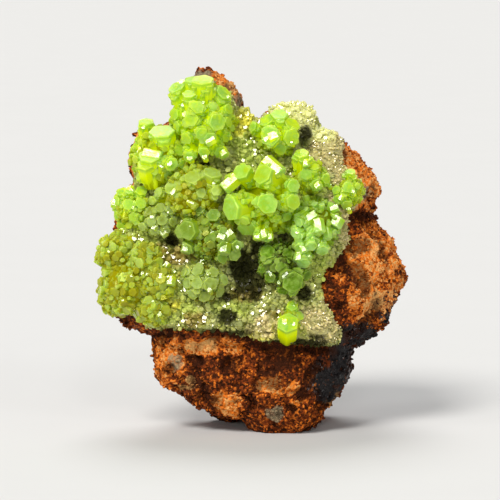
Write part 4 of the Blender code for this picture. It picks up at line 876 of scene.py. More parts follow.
def rock_surface(point):
    """The knobs and swells, the crumbly lumps and how deep a pit is, at a point of the stone."""
    coarse = cell_height(point, KNOB_SIZE, KNOB_HEIGHT) + SWELL_HEIGHT * noise.noise(point / SWELL_SIZE)
    bent = point + noise.noise_vector(point / ROCK_LUMPS[0]) * ROCK_BEND
    fine = cell_height(bent, *ROCK_LUMPS) + cell_height(bent, *ROCK_GRAINS)
    fine += ROCK_ROUGH[1] * noise.fractal(point / ROCK_ROUGH[0], *ROCK_FRACTAL)
    pit = noise.noise(point / PIT_SIZE + Vector(PIT_OFFSET))
    return coarse, fine, pit, noise.fractal(point / ZONE_NOISE, *ROCK_ZONE_FRACTAL)


def stone_mesh(settings):
    """The stone with its crumbly surface, and masks of its colours."""
    distance, angle = disc_grid(settings.cells)
    even = np.full_like(angle, FACE_POWER)
    front = stone_side(distance, angle, even, lambda u, v: -front_bulge(u, v))
    back = stone_side(distance, angle, base_power(angle), back_bulge)
    points, faces = two_sided(front, back)
    normals = normals_of(points, faces)
    noise.seed_set(NOISE_SEED)
    found = np.array([rock_surface(Vector(point)) for point in points])
    coarse, fine, pit, rough = found.T
    u, v = points[:, 0], points[:, 1]
    at_edge = smooth_step(*EDGE_SHARES, share_of_rim(STONE_RIM, STONE_MIDDLE, u, v))
    bare = smooth_step(*BARE_SHARES, share_of_rim(CRUST_RIM, CRUST_MIDDLE, u, v))
    on_front = smooth_step(*FACING_FRONT, normals[:, 2])
    to_crust = normals[:, 2] < FACING_CRUST
    uncovered = 1 - to_crust * (1 - bare) * (1 - COVERED_RELIEF)
    pit = smooth_step(*PIT_LEVELS, pit)
    masks = {
        name: zone_mask(zones, u, v, rough * ZONE_RAGGEDNESS) * on_front for name, zones in ROCK_ZONES.items()
    }
    sunk = PIT_SINK * pit + DEEP_SINK * masks["deep"]
    relief = coarse * (1 - EDGE_CALM * at_edge) + (fine - sunk) * settings.relief * ROCK_RELIEF
    points = points + normals * (relief * uncovered)[:, None]
    low = 1 - smooth_step(*BASE_HEIGHTS, points[:, 1])
    points[:, 1] += UNDERSIDE_RISE * low
    for at_u, at_w, radius, drop in FEET:
        points[:, 1] -= drop * low * mound(points[:, 0], points[:, 2], at_u, at_w, radius)
    placed = stand(points)
    placed[:, 2] = np.maximum(placed[:, 2], 0.0)
    mesh = mesh_of("matrix_rock", placed, faces)
    on_back = smooth_step(*BACK_PATCHES, rough) * (1 - on_front) * BACK_BRIGHTNESS
    masks["bright"] = np.maximum(masks["bright"], on_back)
    # The pits, the deep places and the low places of the fine relief are painted dark brown, partly their own
    # colour and partly painted shade.
    masks["pit"] = np.clip(pit + masks["deep"] + smooth_step(*CRACK_LEVELS, fine), 0, 1)
    masks["bare"] = np.where(to_crust, bare, 1.0)
    keep_masks(mesh, "POINT", masks)
    return mesh, masks


def ball(rounds, radius):
    """Points and faces of a ball."""
    made = bmesh.new()
    bmesh.ops.create_icosphere(made, subdivisions=rounds, radius=radius)
    points = np.array([vertex.co for vertex in made.verts])
    faces = np.array([[vertex.index for vertex in face.verts] for face in made.faces])
    made.free()
    return points, faces


def crumb_mesh(settings, stone, masks):
    """Small uneven grains that sit on the bare stone, with the colours of the place."""
    spread = random.Random(GROWTH_SEED)
    bodies = [ball(rounds, 1.0) for rounds in (1, 2)]
    bare = np.nonzero(masks["bare"] > BARE_ENOUGH)[0]
    points, faces, kept = [], [], {name: [] for name in ("bright", "black", "pale", "grey", "pit")}
    start = 0
    for number in range(settings.crumbs):
        vertex = stone.vertices[int(bare[spread.randrange(len(bare))])]
        size = settings.crumb_size * spread.uniform(*CRUMB_SIZES) ** CRUMB_BIAS
        corners, ball_faces = bodies[size > CRUMB_DETAIL_SIZE * settings.crumb_size]
        shift = Vector((number, 0, 0))
        uneven = np.array([noise.noise(Vector(corner) * CRUMB_LUMPS + shift) for corner in corners])
        stretch = np.array([spread.uniform(*CRUMB_STRETCH) for _ in range(3)])
        placed = corners * (1 + CRUMB_UNEVENNESS * uneven)[:, None] * stretch * size + np.array(vertex.co)
        if placed[:, 2].min() < 0:
            continue
        points.append(placed)
        faces.append(ball_faces + start)
        start += len(corners)
        for name, values in kept.items():
            share = CRUMB_PIT_SHARE if name == "pit" else 1.0
            values.append(np.full(len(corners), masks[name][vertex.index] * share))
    mesh = mesh_of("matrix_crumbs", np.concatenate(points), np.concatenate(faces))
    keep_masks(mesh, "POINT", {name: np.concatenate(values) for name, values in kept.items()})
    return mesh


# The crystals.


def sideways(axis):
    """Two directions that are square to an axis of length 1 and to each other."""
    across = axis.orthogonal().normalized()
    return across, axis.cross(across)


def outward(axis, angle):
    """The direction square to an axis of length 1 at that angle around it."""
    across, aside = sideways(axis)
    return across * math.cos(angle) + aside * math.sin(angle)


def any_twist(spread):
    return spread.uniform(0, math.pi / 3)


def crystal_widths(length, radius):
    """How far from the end face, and how wide there, the body of a crystal changes its slope."""
    if radius < BARREL_RADIUS:
        return [(0.0, radius), (length, radius * FOOT_WIDTH)]
    body = min(BARREL_LENGTH * radius, BARREL_SHARE * length)
    middle = (body / 2, radius * (1 + BARREL_WAIST) / 2 * BARREL_BELLY)
    return [(0.0, radius), middle, (body, radius * BARREL_WAIST), (length, radius * FOOT_WIDTH)]


def cross_section(twist, spread, kind):
    """The corners of one crystal's section, as points around its axis, for a radius of 1."""
    corners = []
    uneven = 0.0 if kind == "lit" else 1.0
    stretch = np.array([1 + uneven * spread.uniform(*SECTION_STRETCH) for _ in range(2)])
    for number in range(6):
        turn = twist + number * math.pi / 3
        size = 1 + uneven * spread.uniform(-CORNER_UNEVENNESS, CORNER_UNEVENNESS * 0.5)
        corners.append(np.array([math.cos(turn), math.sin(turn)]) * size * stretch)
    if kind != "main":
        return np.array(corners)
    outline = []
    for number, corner in enumerate(corners):
        outline.append(corner + (corners[number - 1] - corner) * CORNER_CUT)
        outline.append(corner * (1 - CORNER_ROUNDING))
        outline.append(corner + (corners[(number + 1) % 6] - corner) * CORNER_CUT)
    return np.array(outline)


def crystal_body(crystal, spread, kind):
    """Points, faces and the masks at the faces' corners of one closed crystal."""
    foot, tip, radius, twist = crystal
    axis = (tip - foot).normalized()
    length = (tip - foot).length
    across, aside = sideways(axis)
    widths = [(0.0, radius), (length, radius)] if kind == "lit" else crystal_widths(length, radius)
    ends = END_STATIONS if kind == "main" else SMALL_END_STATIONS
    stations = [(back * radius, share * radius, rim) for back, share, rim in ends]
    stations += [(back, width, 0.0) for back, width in widths[1:]]
    section = cross_section(twist, spread, kind)
    sides = len(section)
    spokes = section[:, :1] * np.array(across) + section[:, 1:] * np.array(aside)
    points = np.concatenate([
        np.array(tip) - np.array(axis) * back + spokes * width for back, width, _ in stations
    ])
    faces = [list(range(sides))]
    for ring in range(len(stations) - 1):
        for side in range(sides):
            following = (side + 1) % sides
            low, high = (ring + 1) * sides, ring * sides
            faces.append([high + side, low + side, low + following, high + following])
    faces.append([(len(stations) - 1) * sides + side for side in reversed(range(sides))])
    faces = [face[::-1] for face in faces]  # because stand() mirrors
    depth = np.repeat([back for back, _, _ in stations], sides)
    rim = np.repeat([rim for _, _, rim in stations], sides)
    return points, faces, depth, rim, len(ends) * sides


def crystal_mesh(crystal, spread, kind):
    """One crystal as a mesh, with masks at the corners of its faces that survive a Boolean."""
    points, faces, depth, rim, end_points = crystal_body(crystal, spread, kind)
    mesh = mesh_of(kind, stand(points), faces)
    corner_points = np.zeros(len(mesh.loops), np.int32)
    mesh.loops.foreach_get("vertex_index", corner_points)
    counts = [len(face) for face in faces]
    on_end = np.array([max(face) < end_points for face in faces], float)
    masks = {
        "depth": depth[corner_points],
        "rim": rim[corner_points],
        "end": np.repeat(on_end, counts),
        "tint": np.full(len(corner_points), spread.uniform(*TINTS[kind])),
    }
    keep_masks(mesh, "CORNER", masks)
    return mesh


def cluster_crystals(cluster, twists):
    """(foot, tip, radius, twist) of each crystal in a cluster, in the display face's frame."""
    root = Vector(cluster["root"])
    found = []
    for u, v, w, radius, *lean in cluster["crystals"]:
        tip = Vector((u, v, w))
        depth = root.z - w
        foot = Vector((root.x, root.y, w + FAN_DEPTH * depth))
        if lean:
            back = Vector((-lean[0], -lean[1], 1.0))
            foot = tip + back * min(depth, LEANED_LENGTH / back.length)
        found.append((foot, tip, radius, any_twist(twists)))
    return found


def crust_swelling(u, v):
    return sum(height * mound(u, v, *place) for *place, height in CRUST_DOMES)


def crust_depth(u, v):
    """The depth of the crust's open side."""
    return float(front_depth(u, v)) - CRUST_THICKNESS - float(crust_swelling(u, v))


def hub(cluster):
    """The lump (u, v, w, radius) on the crust from which all the cluster's crystals rise."""
    u, v, _ = cluster["root"]
    spread = max(math.dist((u, v), crystal[:2]) for crystal in cluster["crystals"])
    return u, v, float(front_depth(u, v)) - CRUST_THICKNESS, HUB_SHARE * spread


def botryoid_lumps():
    """The rounded lumps (u, v, w, radius), sunk in the crust so that each stands at its height."""
    return [(u, v, crust_depth(u, v) + radius - height, radius) for u, v, radius, height in BOTRYOID_DOMES]


def around(middle, count, opening, turn=0.0):
    """Directions spread evenly over the side of a lump that faces the viewer."""
    aims = []
    for number in range(count):
        forward = 1 - opening * (number + 0.5) / count
        angle = number * GOLDEN_ANGLE + turn
        flat = math.sqrt(max(0.0, 1 - forward**2))
        aims.append(Vector((flat * math.cos(angle), flat * math.sin(angle), -forward)))
    return aims


def dome_crystals():
    """(foot, tip, radius, twist) of the short crystals that stand all over the rounded lumps."""
    spread = random.Random(DOME_SEED)
    found = []
    for u, v, w, dome_radius in botryoid_lumps():
        middle = Vector((u, v, w))
        for aim in around(middle, DOME_CRYSTALS, DOME_OPENING, u):
            tip = middle + aim * dome_radius * spread.uniform(*DOME_CRYSTAL_REACH)
            radius = spread.uniform(*DOME_CRYSTAL_RADII)
            found.append((middle, tip, radius, any_twist(spread)))
    return found


def distance_to_crystal(point, crystal):
    """How far a point is from the surface of a crystal, near enough."""
    foot, tip, radius, _ = crystal
    axis = tip - foot
    share = max(0.0, min(1.0, (point - foot).dot(axis) / axis.length_squared))
    return (point - foot - axis * share).length - radius


def siblings(crystal, count, spread):
    """Crystals nearly as large as their neighbour that grew along it, at a slight angle."""
    foot, tip, radius, _ = crystal
    span = tip - foot
    across = span.orthogonal().normalized()
    aside = span.normalized().cross(across)
    turn = spread.uniform(0, 2 * math.pi)
    found = []
    for number in range(count):
        angle = turn + number * GOLDEN_ANGLE
        out = across * math.cos(angle) + aside * math.sin(angle)
        aside_by = out * radius * spread.uniform(*SIBLING_SPREAD)
        end = foot + span * spread.uniform(*SIBLING_REACH) + aside_by
        size = radius * spread.uniform(*SIBLING_RADII)
        start = (foot + aside_by * SIBLING_FOOT).lerp(end, SIBLING_START)
        found.append((start, end, size, any_twist(spread)))
    return found


def companions(crystal, count, spread):
    """Smaller crystals that grew along the sides of a large one and end a little below its end."""
    foot, tip, radius, _ = crystal
    axis = (tip - foot).normalized()
    found = []
    for number in range(count):
        turn = spread.uniform(-COMPANION_TURN, COMPANION_TURN)
        out = outward(axis, (number + turn) * 2 * math.pi / count)
        size = radius * spread.uniform(*COMPANION_RADII)
        drop = radius * spread.uniform(*COMPANION_DROPS)
        end = tip + out * (radius - size * spread.uniform(*COMPANION_SINK)) - axis * drop
        start = end - (axis + out * spread.uniform(*COMPANION_SPLAY)) * radius * COMPANION_LENGTH
        found.append((start, end, size, any_twist(spread)))
    return found


def shoots(crystal, count, spread):
    """Short crystals all around the lower part of a large one."""
    foot, tip, radius, _ = crystal
    span = tip - foot
    axis = span.normalized()
    turn = spread.uniform(0, 2 * math.pi)
    found = []
    for number in range(count):
        out = outward(axis, turn + number * GOLDEN_ANGLE)
        start = foot + span * spread.uniform(0.0, SHOOT_SPAN)
        reach = out * spread.uniform(*SHOOT_OUT) + axis * spread.uniform(*SHOOT_UP)
        size = radius * spread.uniform(*SHOOT_RADII)
        found.append((start, start + reach * radius, size, any_twist(spread)))
    return found


def fills(lump, count, radii, reach, crystals, spread):
    """Smaller crystals all over a lump, leaning a little, where the large ones leave it open."""
    middle = Vector(lump[:3])
    found = []
    for aim in around(middle, count, FILL_OPENING, spread.uniform(0, math.pi)):
        radius = radii[0] + (radii[1] - radii[0]) * spread.random() ** FILL_BIAS
        stand_out = min((spread.uniform(*reach) - 1) * lump[3], FILL_STAND)
        tip = middle + aim * (lump[3] + stand_out)
        lean = Vector([spread.uniform(-FILL_LEAN, FILL_LEAN) for _ in range(3)])
        foot = tip - (aim + lean) * (stand_out + FILL_ROOT)
        twist = any_twist(spread)
        seen = tip.z < front_depth(tip.x, tip.y)
        reach_in = -radius * FILL_CLEARANCE
        if seen and all(distance_to_crystal(tip, crystal) > reach_in for crystal in crystals):
            found.append((foot, tip, radius, twist))
    return found


def lit_direction():
    """The way a face points, in the display face's frame, that mirrors the key light to the viewer."""
    to_viewer = Vector((0.0, -math.cos(CAMERA_TILT), math.sin(CAMERA_TILT)))
    x, y, z = (Vector(KEY_SIDE).normalized() + to_viewer).normalized()
    v = y * math.sin(LEAN) + z * math.cos(LEAN)
    w = y * math.cos(LEAN) - z * math.sin(LEAN)
    return Vector((x, v, w))


def frontmost(u, v, crystals):
    """The depth at which a look straight at the display face first meets a crystal, or the crust."""
    feet = np.array([crystal[0] for crystal in crystals])
    spans = np.array([crystal[1] for crystal in crystals]) - feet
    radii = np.array([crystal[2] for crystal in crystals])
    for depth in np.arange(*LOOK_DEPTHS):
        offsets = np.array((u, v, depth)) - feet
        shares = (offsets * spans).sum(-1) / (spans**2).sum(-1)
        away = np.linalg.norm(offsets - spans * shares[:, None], axis=-1)
        if ((away < radii * LOOK_WIDTH) & (shares > 0) & (shares < 1)).any():
            return depth
    return crust_depth(u, v)


def lit_crystals(faces, others):
    """Crystals that show one face to the main light, in front of the others."""
    facing = lit_direction()
    found = []
    for u, v, width, *side in faces:
        middle = Vector((u, v, frontmost(u, v, others) - LIT_RAISE))
        if not side:
            found.append((middle - facing * LIT_DEPTH, middle, width / 2, 0.0))
            continue
        length, angle = side[0], math.radians(side[1])
        level = -(math.cos(angle) * facing.x + math.sin(angle) * facing.y) / facing.z
        axis = Vector((math.cos(angle), math.sin(angle), level)).normalized()
        if axis.z > 0:
            axis = -axis
        across, aside = sideways(axis)
        twist = math.atan2(facing.dot(aside), facing.dot(across)) - math.pi / 6
        core = middle - facing * width * math.cos(math.pi / 6)
        half = axis * length / 2
        found.append((core - half, core + half, width, twist))
    return found


def cluster_growth(name, crystals, lumps, companion_count, spread):
    """The crystals of a cluster by kind: the main ones, those along them, the fill and the lit ones."""
    _, fill_count, sibling_count = CLUSTER_LOOKS[name]
    shoot_counts = {True: SHOOTS_ON_LARGE, False: SHOOTS_ON_SMALL}
    sibling_counts = {True: sibling_count, False: SMALL_SIBLINGS}
    if sibling_count == 0:
        companion_count = 0
        shoot_counts = {True: 0, False: 0}
    kinds = {"main": crystals, "grown": [], "fill": []}
    for crystal in crystals:
        large = crystal[2] >= BARREL_RADIUS
        along_it = siblings(crystal, sibling_counts[large], spread)
        kinds["grown"] += along_it + companions(crystal, companion_count, spread)
        kinds["fill"] += shoots(crystal, shoot_counts[large], spread)
        if large:
            for member in along_it:
                kinds["grown"] += companions(member, companion_count // 2, spread)
    on_domes = name not in CLUSTERS
    radii, reach = (DOME_FILL_RADII, DOME_FILL_REACH) if on_domes else (FILL_RADII, FILL_REACH)
    for lump in lumps:
        filled = fills(lump, fill_count, radii, reach, crystals, spread)
        kinds["fill"] += filled
        for crystal in filled:
            kinds["fill"] += companions(crystal, FILL_COMPANIONS, spread)
    others = [crystal for members in kinds.values() for crystal in members]
    kinds["lit"] = lit_crystals(LIT_FACES[name], others)
    return kinds


def lump_mesh(lump):
    """A rounded lump under the crystals, as a ball."""
    points, faces = ball(LUMP_ROUNDS, lump[3])
    mesh = mesh_of("lump", stand(points + np.array(lump[:3])), faces[:, ::-1])
    keep_masks(mesh, "CORNER", {name: np.full(len(mesh.loops), value) for name, value in LUMP_MASKS.items()})
    return mesh


def fuse(name, meshes):
    """One closed mesh from several, with its wide faces flat and its small bevels rounded."""
    base = add_object(name, meshes[0])
    group = bpy.data.collections.new("grown_together")
    for mesh in meshes[1:]:
        group.objects.link(bpy.data.objects.new(mesh.name, mesh))
    union = base.modifiers.new("union", "BOOLEAN")
    union.operation = "UNION"
    union.solver = "MANIFOLD"
    union.operand_type = "COLLECTION"
    union.collection = group
    graph = bpy.context.evaluated_depsgraph_get()
    fused = bpy.data.meshes.new_from_object(base.evaluated_get(graph))
    fused.name = name
    bpy.data.objects.remove(base)
    for member in list(group.objects):
        bpy.data.objects.remove(member)
    bpy.data.collections.remove(group)
    for mesh in meshes:
        bpy.data.meshes.remove(mesh)
    fused.shade_smooth()
    fused.set_sharp_from_angle(angle=SHARP_ANGLE)
    return fused


def add_grown_piece(name, meshes, node):
    piece = add_piece(name, fuse(name, meshes), node, node)
    weigh = piece.modifiers.new("flat_faces", "WEIGHTED_NORMAL")
    weigh.keep_sharp = True
    weigh.weight = FLATNESS
    return piece


# The druse.


def crust_radius(angle):
    """How far the crust reaches from its middle: to its outline, but not beyond the stone."""
    reach = rim_radius(CRUST_RIM, angle)
    for _ in range(CRUST_ROUNDS):
        share = share_of_rim(STONE_RIM, STONE_MIDDLE, *away_from(CRUST_MIDDLE, reach, angle))
        reach = reach * np.minimum(1.0, CRUST_REACH / share)
    return reach


def front_normals(u, v):
    """The directions straight out of the stone's front, as points (u, v, w) of length 1."""
    slope_u = (front_depth(u + SLOPE_STEP, v) - front_depth(u - SLOPE_STEP, v)) / (2 * SLOPE_STEP)
    slope_v = (front_depth(u, v + SLOPE_STEP) - front_depth(u, v - SLOPE_STEP)) / (2 * SLOPE_STEP)
    normals = np.stack([slope_u, slope_v, -np.ones_like(u)], -1)
    return normals / np.linalg.norm(normals, axis=-1, keepdims=True)


def crust_surface(distance, angle):
    """Points of the crust's open side and of its inner side, and the directions out of it."""
    u, v = away_from(CRUST_MIDDLE, crust_radius(angle) * np.sin(distance * math.pi / 2), angle)
    surface = np.stack([u, v, front_depth(u, v)], -1)
    normals = front_normals(u, v)
    full = 1 - distance**CRUST_EDGE_POWER
    out = (CRUST_THICKNESS + CRUST_ROOT + crust_swelling(u, v)) * full - CRUST_ROOT
    return surface + normals * out[..., None], surface - normals * CRUST_ROOT, normals


def along(crystal, steps):
    """Points spread evenly from a crystal's foot to its end face."""
    foot, tip, _, _ = crystal
    return [foot.lerp(tip, step / steps) for step in range(steps + 1)]


def is_clear(crystal, others):
    return all(
        distance_to_crystal(point, other) > crystal[2] + 2 * GAP
        for point in along(crystal, CLEAR_STEPS)
        for other in others
    )


def sprouts(others):
    """(foot, tip, radius, twist) of larger crystals on the open crust, clear of all the others."""
    spread = random.Random(SPROUT_SEED)
    found = []
    while len(found) < SPROUT_COUNT:
        angle = spread.uniform(-math.pi, math.pi)
        reach = float(crust_radius(np.array(angle))) * math.sqrt(spread.uniform(0.0, SPROUT_REACH))
        u, v = away_from(CRUST_MIDDLE, reach, angle)
        tip = Vector((u, v, crust_depth(u, v) - spread.uniform(*SPROUT_HEIGHTS)))
        lean_u = spread.uniform(-SPROUT_LEAN, SPROUT_LEAN)
        lean_v = spread.uniform(-SPROUT_LEAN, SPROUT_LEAN)
        foot = tip - Vector((lean_u, lean_v, -1.0)) * SPROUT_LENGTH
        crystal = (foot, tip, spread.uniform(*SPROUT_RADII), any_twist(spread))
        if is_clear(crystal, others):
            found.append(crystal)
    return found


def druse_crystals(settings, coat, lumps):
    """Small crystals of one kind all over the crust, leaning every way, where no lump covers it."""
    spread = random.Random(DRUSE_SEED)
    facing = lit_direction()
    count = int(coat["count"] * settings.density)
    numbers = np.arange(count)
    distance = np.arcsin(np.sqrt((numbers + 0.5) / count)) * 2 / math.pi
    turn = np.array([spread.uniform(-DRUSE_TURN, DRUSE_TURN) for _ in numbers])
    angle = np.remainder(numbers * GOLDEN_ANGLE + turn + math.pi, 2 * math.pi) - math.pi
    outer, _, normals = crust_surface(np.minimum(distance, DRUSE_RIM), angle)
    share = np.ones(count)
    if coat["zone"]:
        share = zone_mask(DRUSE_ZONES[coat["zone"]], outer[:, 0], outer[:, 1], np.zeros(count))
    found = []
    for point, normal, wanted in zip(outer, normals, share):
        place = Vector(point)
        low, high = coat["radii"]
        largeness = spread.random() ** DRUSE_BIAS
        lean = Vector([spread.uniform(-coat["lean"], coat["lean"]) for _ in range(3)])
        aim = (Vector(normal) + lean).normalized()
        if spread.random() < DRUSE_LIT_SHARE:
            aim = facing
            largeness = min(largeness, DRUSE_LIT_SIZE)
        radius = (low + (high - low) * largeness) * settings.size
        length = radius * spread.uniform(*coat["lengths"])
        twist = any_twist(spread)
        kept = spread.random() < wanted
        if kept and all((place - Vector(lump[:3])).length > lump[3] * LUMP_COVER for lump in lumps):
            foot = place - aim * length * DRUSE_SINK
            found.append((foot, foot + aim * length, radius, twist))
    return found


def crust_body():
    """Points and faces of the crust itself, a little uneven."""
    distance, angle = disc_grid(CRUST_CELLS)
    outer, inner, normals = crust_surface(distance, angle)
    full = 1 - distance**CRUST_EDGE_POWER
    rough = [cell_height(Vector(point), *CRUST_ROUGH) for point in outer.reshape(-1, 3)]
    outer = outer + normals * (np.array(rough).reshape(full.shape) * full)[..., None]
    return two_sided(outer, inner)


def druse_mesh(name, crystals, body=None):
    """Small crystals, with the crust if it is given, and masks of their colours."""
    spread = random.Random(DRUSE_SEED + 1)
    facing = lit_direction()
    bodies, faces, tints, ends = [], [], [], []
    start = 0
    if body:
        bodies.append(body[0])
        faces += body[1].tolist()
        tints.append(np.full(len(body[0]), CRUST_TINT))
        ends.append(np.zeros(len(body[0])))
        start = len(body[0])
    for crystal in crystals:
        points, crystal_faces, _, rim, _ = crystal_body(crystal, spread, "fill")
        bodies.append(points)
        faces += [[number + start for number in face] for face in crystal_faces]
        along_it = (crystal[1] - crystal[0]).normalized()
        tint = LIT_TINT if along_it.dot(facing) > LIT_ALIGNMENT else spread.random()
        tints.append(np.full(len(points), tint))
        ends.append(rim)
        start += len(points)
    points = np.concatenate(bodies)
    mesh = mesh_of(name, stand(points), faces)
    broken = [noise.fractal(Vector(point) / ZONE_NOISE, *DRUSE_ZONE_FRACTAL) for point in points]
    u, v, broken = points[:, 0], points[:, 1], np.array(broken)
    masks = {name: zone_mask(zones, u, v, broken) for name, zones in DRUSE_ZONES.items()}
    masks["tint"] = np.concatenate(tints)
    masks["rim"] = np.concatenate(ends)
    keep_masks(mesh, "POINT", masks)
    return mesh


# The finishes.


def node(tree, kind, **settings):
    made = tree.nodes.new(kind)
    for name, value in settings.items():
        setattr(made, name, value)
    return made


def feed(tree, socket, value):
    """Links a socket to another one, or gives it a plain value."""
    if isinstance(value, bpy.types.NodeSocket):
        tree.links.new(value, socket)
    elif hasattr(value, "__len__") and len(value) == 3 and socket.type == "RGBA":
        socket.default_value = (*value, 1.0)
    else:
        socket.default_value = value


def between(tree, share, first, second):
    """A colour between two colours."""
    made = node(tree, "ShaderNodeMix", data_type="RGBA")
    for number, value in ((0, share), (6, first), (7, second)):
        feed(tree, made.inputs[number], value)
    return made.outputs[2]


def calculate(tree, operation, first, second=0.0, third=0.0):
    made = node(tree, "ShaderNodeMath", operation=operation)
    for number, value in enumerate((first, second, third)):
        feed(tree, made.inputs[number], value)
    return made.outputs[0]


def step(tree, value, low, high, to_low=0.0, to_high=1.0):
    """A smooth step from one value to another."""
    made = node(tree, "ShaderNodeMapRange", interpolation_type="SMOOTHSTEP")
    for number, setting in enumerate((value, low, high, to_low, to_high)):
        feed(tree, made.inputs[number], setting)
    return made.outputs[0]


def settle(shader, values):
    """Gives sockets of a node plain values."""
    for name, value in values.items():
        shader.inputs[name].default_value = value


def own_place(tree):
    """The place on the piece, in metres."""
    return node(tree, "ShaderNodeTexCoord").outputs["Object"]


def product(tree, first, second):
    return calculate(tree, "MULTIPLY", first, second)


def mask_node(tree, name):
    """A value that the mesh keeps at its points or corners."""
    return node(tree, "ShaderNodeAttribute", attribute_name=name).outputs["Fac"]


def lit_mask(tree):
    """1 on the crystals that mirror the main light to the viewer."""
    return step(tree, mask_node(tree, "tint"), LIT_TINT - 0.15, LIT_TINT - 0.05)


def grain_texture(tree, place, scale, detail=4.0, rough=0.55):
    made = node(tree, "ShaderNodeTexNoise")
    for name, value in (("Vector", place), ("Scale", scale), ("Detail", detail), ("Roughness", rough)):
        feed(tree, made.inputs[name], value)
    return made.outputs[0]


def cell_texture(tree, place, scale, output="Distance"):
    made = node(tree, "ShaderNodeTexVoronoi")
    feed(tree, made.inputs["Vector"], place)
    feed(tree, made.inputs["Scale"], scale)
    return made.outputs[output]


def weighed(tree, *parts):
    """The sum of values, each with its weight."""
    total = 0.0
    for value, weight in parts:
        total = calculate(tree, "MULTIPLY_ADD", value, weight, total)
    return total


def new_group(name, inputs, outputs):
    """An empty node group, its inputs and where its outputs go."""
    tree = bpy.data.node_groups.new(name, "ShaderNodeTree")
    for socket_name, kind in inputs:
        tree.interface.new_socket(socket_name, in_out="INPUT", socket_type=kind)
    for socket_name, kind in outputs:
        tree.interface.new_socket(socket_name, in_out="OUTPUT", socket_type=kind)
    return tree, node(tree, "NodeGroupInput").outputs, node(tree, "NodeGroupOutput").inputs


def grain_group():
    """Grain at two sizes: a mask for colour and a height for bumps."""
    tree, given, made = new_group(GRAIN_GROUP, [("Size", VALUE)], [("Mask", VALUE), ("Height", VALUE)])
    place = own_place(tree)
    scale = calculate(tree, "DIVIDE", 1.0, given["Size"])
    coarse = grain_texture(tree, place, scale, 6.0, 0.62)
    fine = cell_texture(tree, place, product(tree, scale, 3.4))
    feed(tree, made["Mask"], step(tree, coarse, 0.32, 0.68))
    feed(tree, made["Height"], calculate(tree, "SUBTRACT", coarse, product(tree, fine, 0.55)))


def rock_group():
    """The colour of the limonite, from the masks that its meshes keep."""
    inputs = [(name, COLOUR) for name in ("Rust", "Orange", "Brown", "Black", "Ochre", "Grey")]
    outputs = [("Colour", COLOUR), ("Roughness", VALUE), ("Coat", VALUE), ("Height", VALUE)]
    tree, given, made = new_group(ROCK_GROUP, inputs, outputs)
    place = own_place(tree)
    patches = grain_texture(tree, place, ROCK_PATCHES, 5.0, 0.65)
    crumbs = grain_texture(tree, place, ROCK_CRUMBLE, 6.0, 0.75)
    cells = cell_texture(tree, place, ROCK_GRAIN)
    grains = cell_texture(tree, place, ROCK_GRAIN, "Color")
    bright = mask_node(tree, "bright")
    level = weighed(tree, (patches, 0.36), (crumbs, 0.38), (grains, 0.26), (bright, 0.16))
    colour = between(tree, step(tree, level, 0.44, 0.545), given["Brown"], given["Rust"])
    colour = between(tree, step(tree, level, 0.54, 0.64), colour, given["Orange"])
    colour = between(tree, step(tree, level, 0.65, 0.73, 0.0, 0.8), colour, given["Ochre"])
    for name, tone in (("pale", "Ochre"), ("grey", "Grey")):
        ragged = weighed(tree, (mask_node(tree, name), 1.0), (grains, 0.5), (crumbs, 2.2))
        colour = between(tree, step(tree, ragged, 1.8, 2.55, 0.0, 0.9), colour, given[tone])
    black = product(tree, mask_node(tree, "black"), step(tree, level, 0.7, 0.6))
    colour = between(tree, black, colour, given["Black"])
    # The holes and pits take the dark brown, partly their own colour and partly painted shade.
    holes = step(tree, cell_texture(tree, place, ROCK_HOLES), 0.34, 0.2)
    holes = product(tree, holes, step(tree, patches, 0.54, 0.46))
    pits = calculate(tree, "MAXIMUM", mask_node(tree, "pit"), holes)
    sunk = product(tree, pits, step(tree, level, 0.62, 0.46, 0.75, 0.97))
    colour = between(tree, sunk, colour, given["Brown"])
    feed(tree, made["Colour"], colour)
    feed(tree, made["Roughness"], step(tree, black, 0.2, 0.8, 0.88, 0.5))
    feed(tree, made["Coat"], product(tree, black, 0.18))
    feed(tree, made["Height"], weighed(tree, (crumbs, 0.9), (grains, 0.35), (cells, -0.6), (holes, -0.7)))


def end_face_colour(tree, given, clouds, mottle, tint):
    """The colour of the end faces: frosted in clouds, with the colour of the sides between them."""
    parts = (
        (step(tree, clouds, 0.46, 0.68, 0.0, 0.4), "Frost"),
        (step(tree, clouds, 0.28, 0.52, 0.7, 0.0), "Side"),
        (step(tree, mottle, 0.5, 0.66, 0.0, 0.4), "Frost"),
        (step(tree, mottle, 0.5, 0.34, 0.0, 0.45), "Side"),
        (step(tree, tint, 0.95, 0.4, 0.0, 0.65), "Side"),
    )
    colour = given["End"]
    for share, tone in parts:
        colour = between(tree, share, colour, given[tone])
    return colour


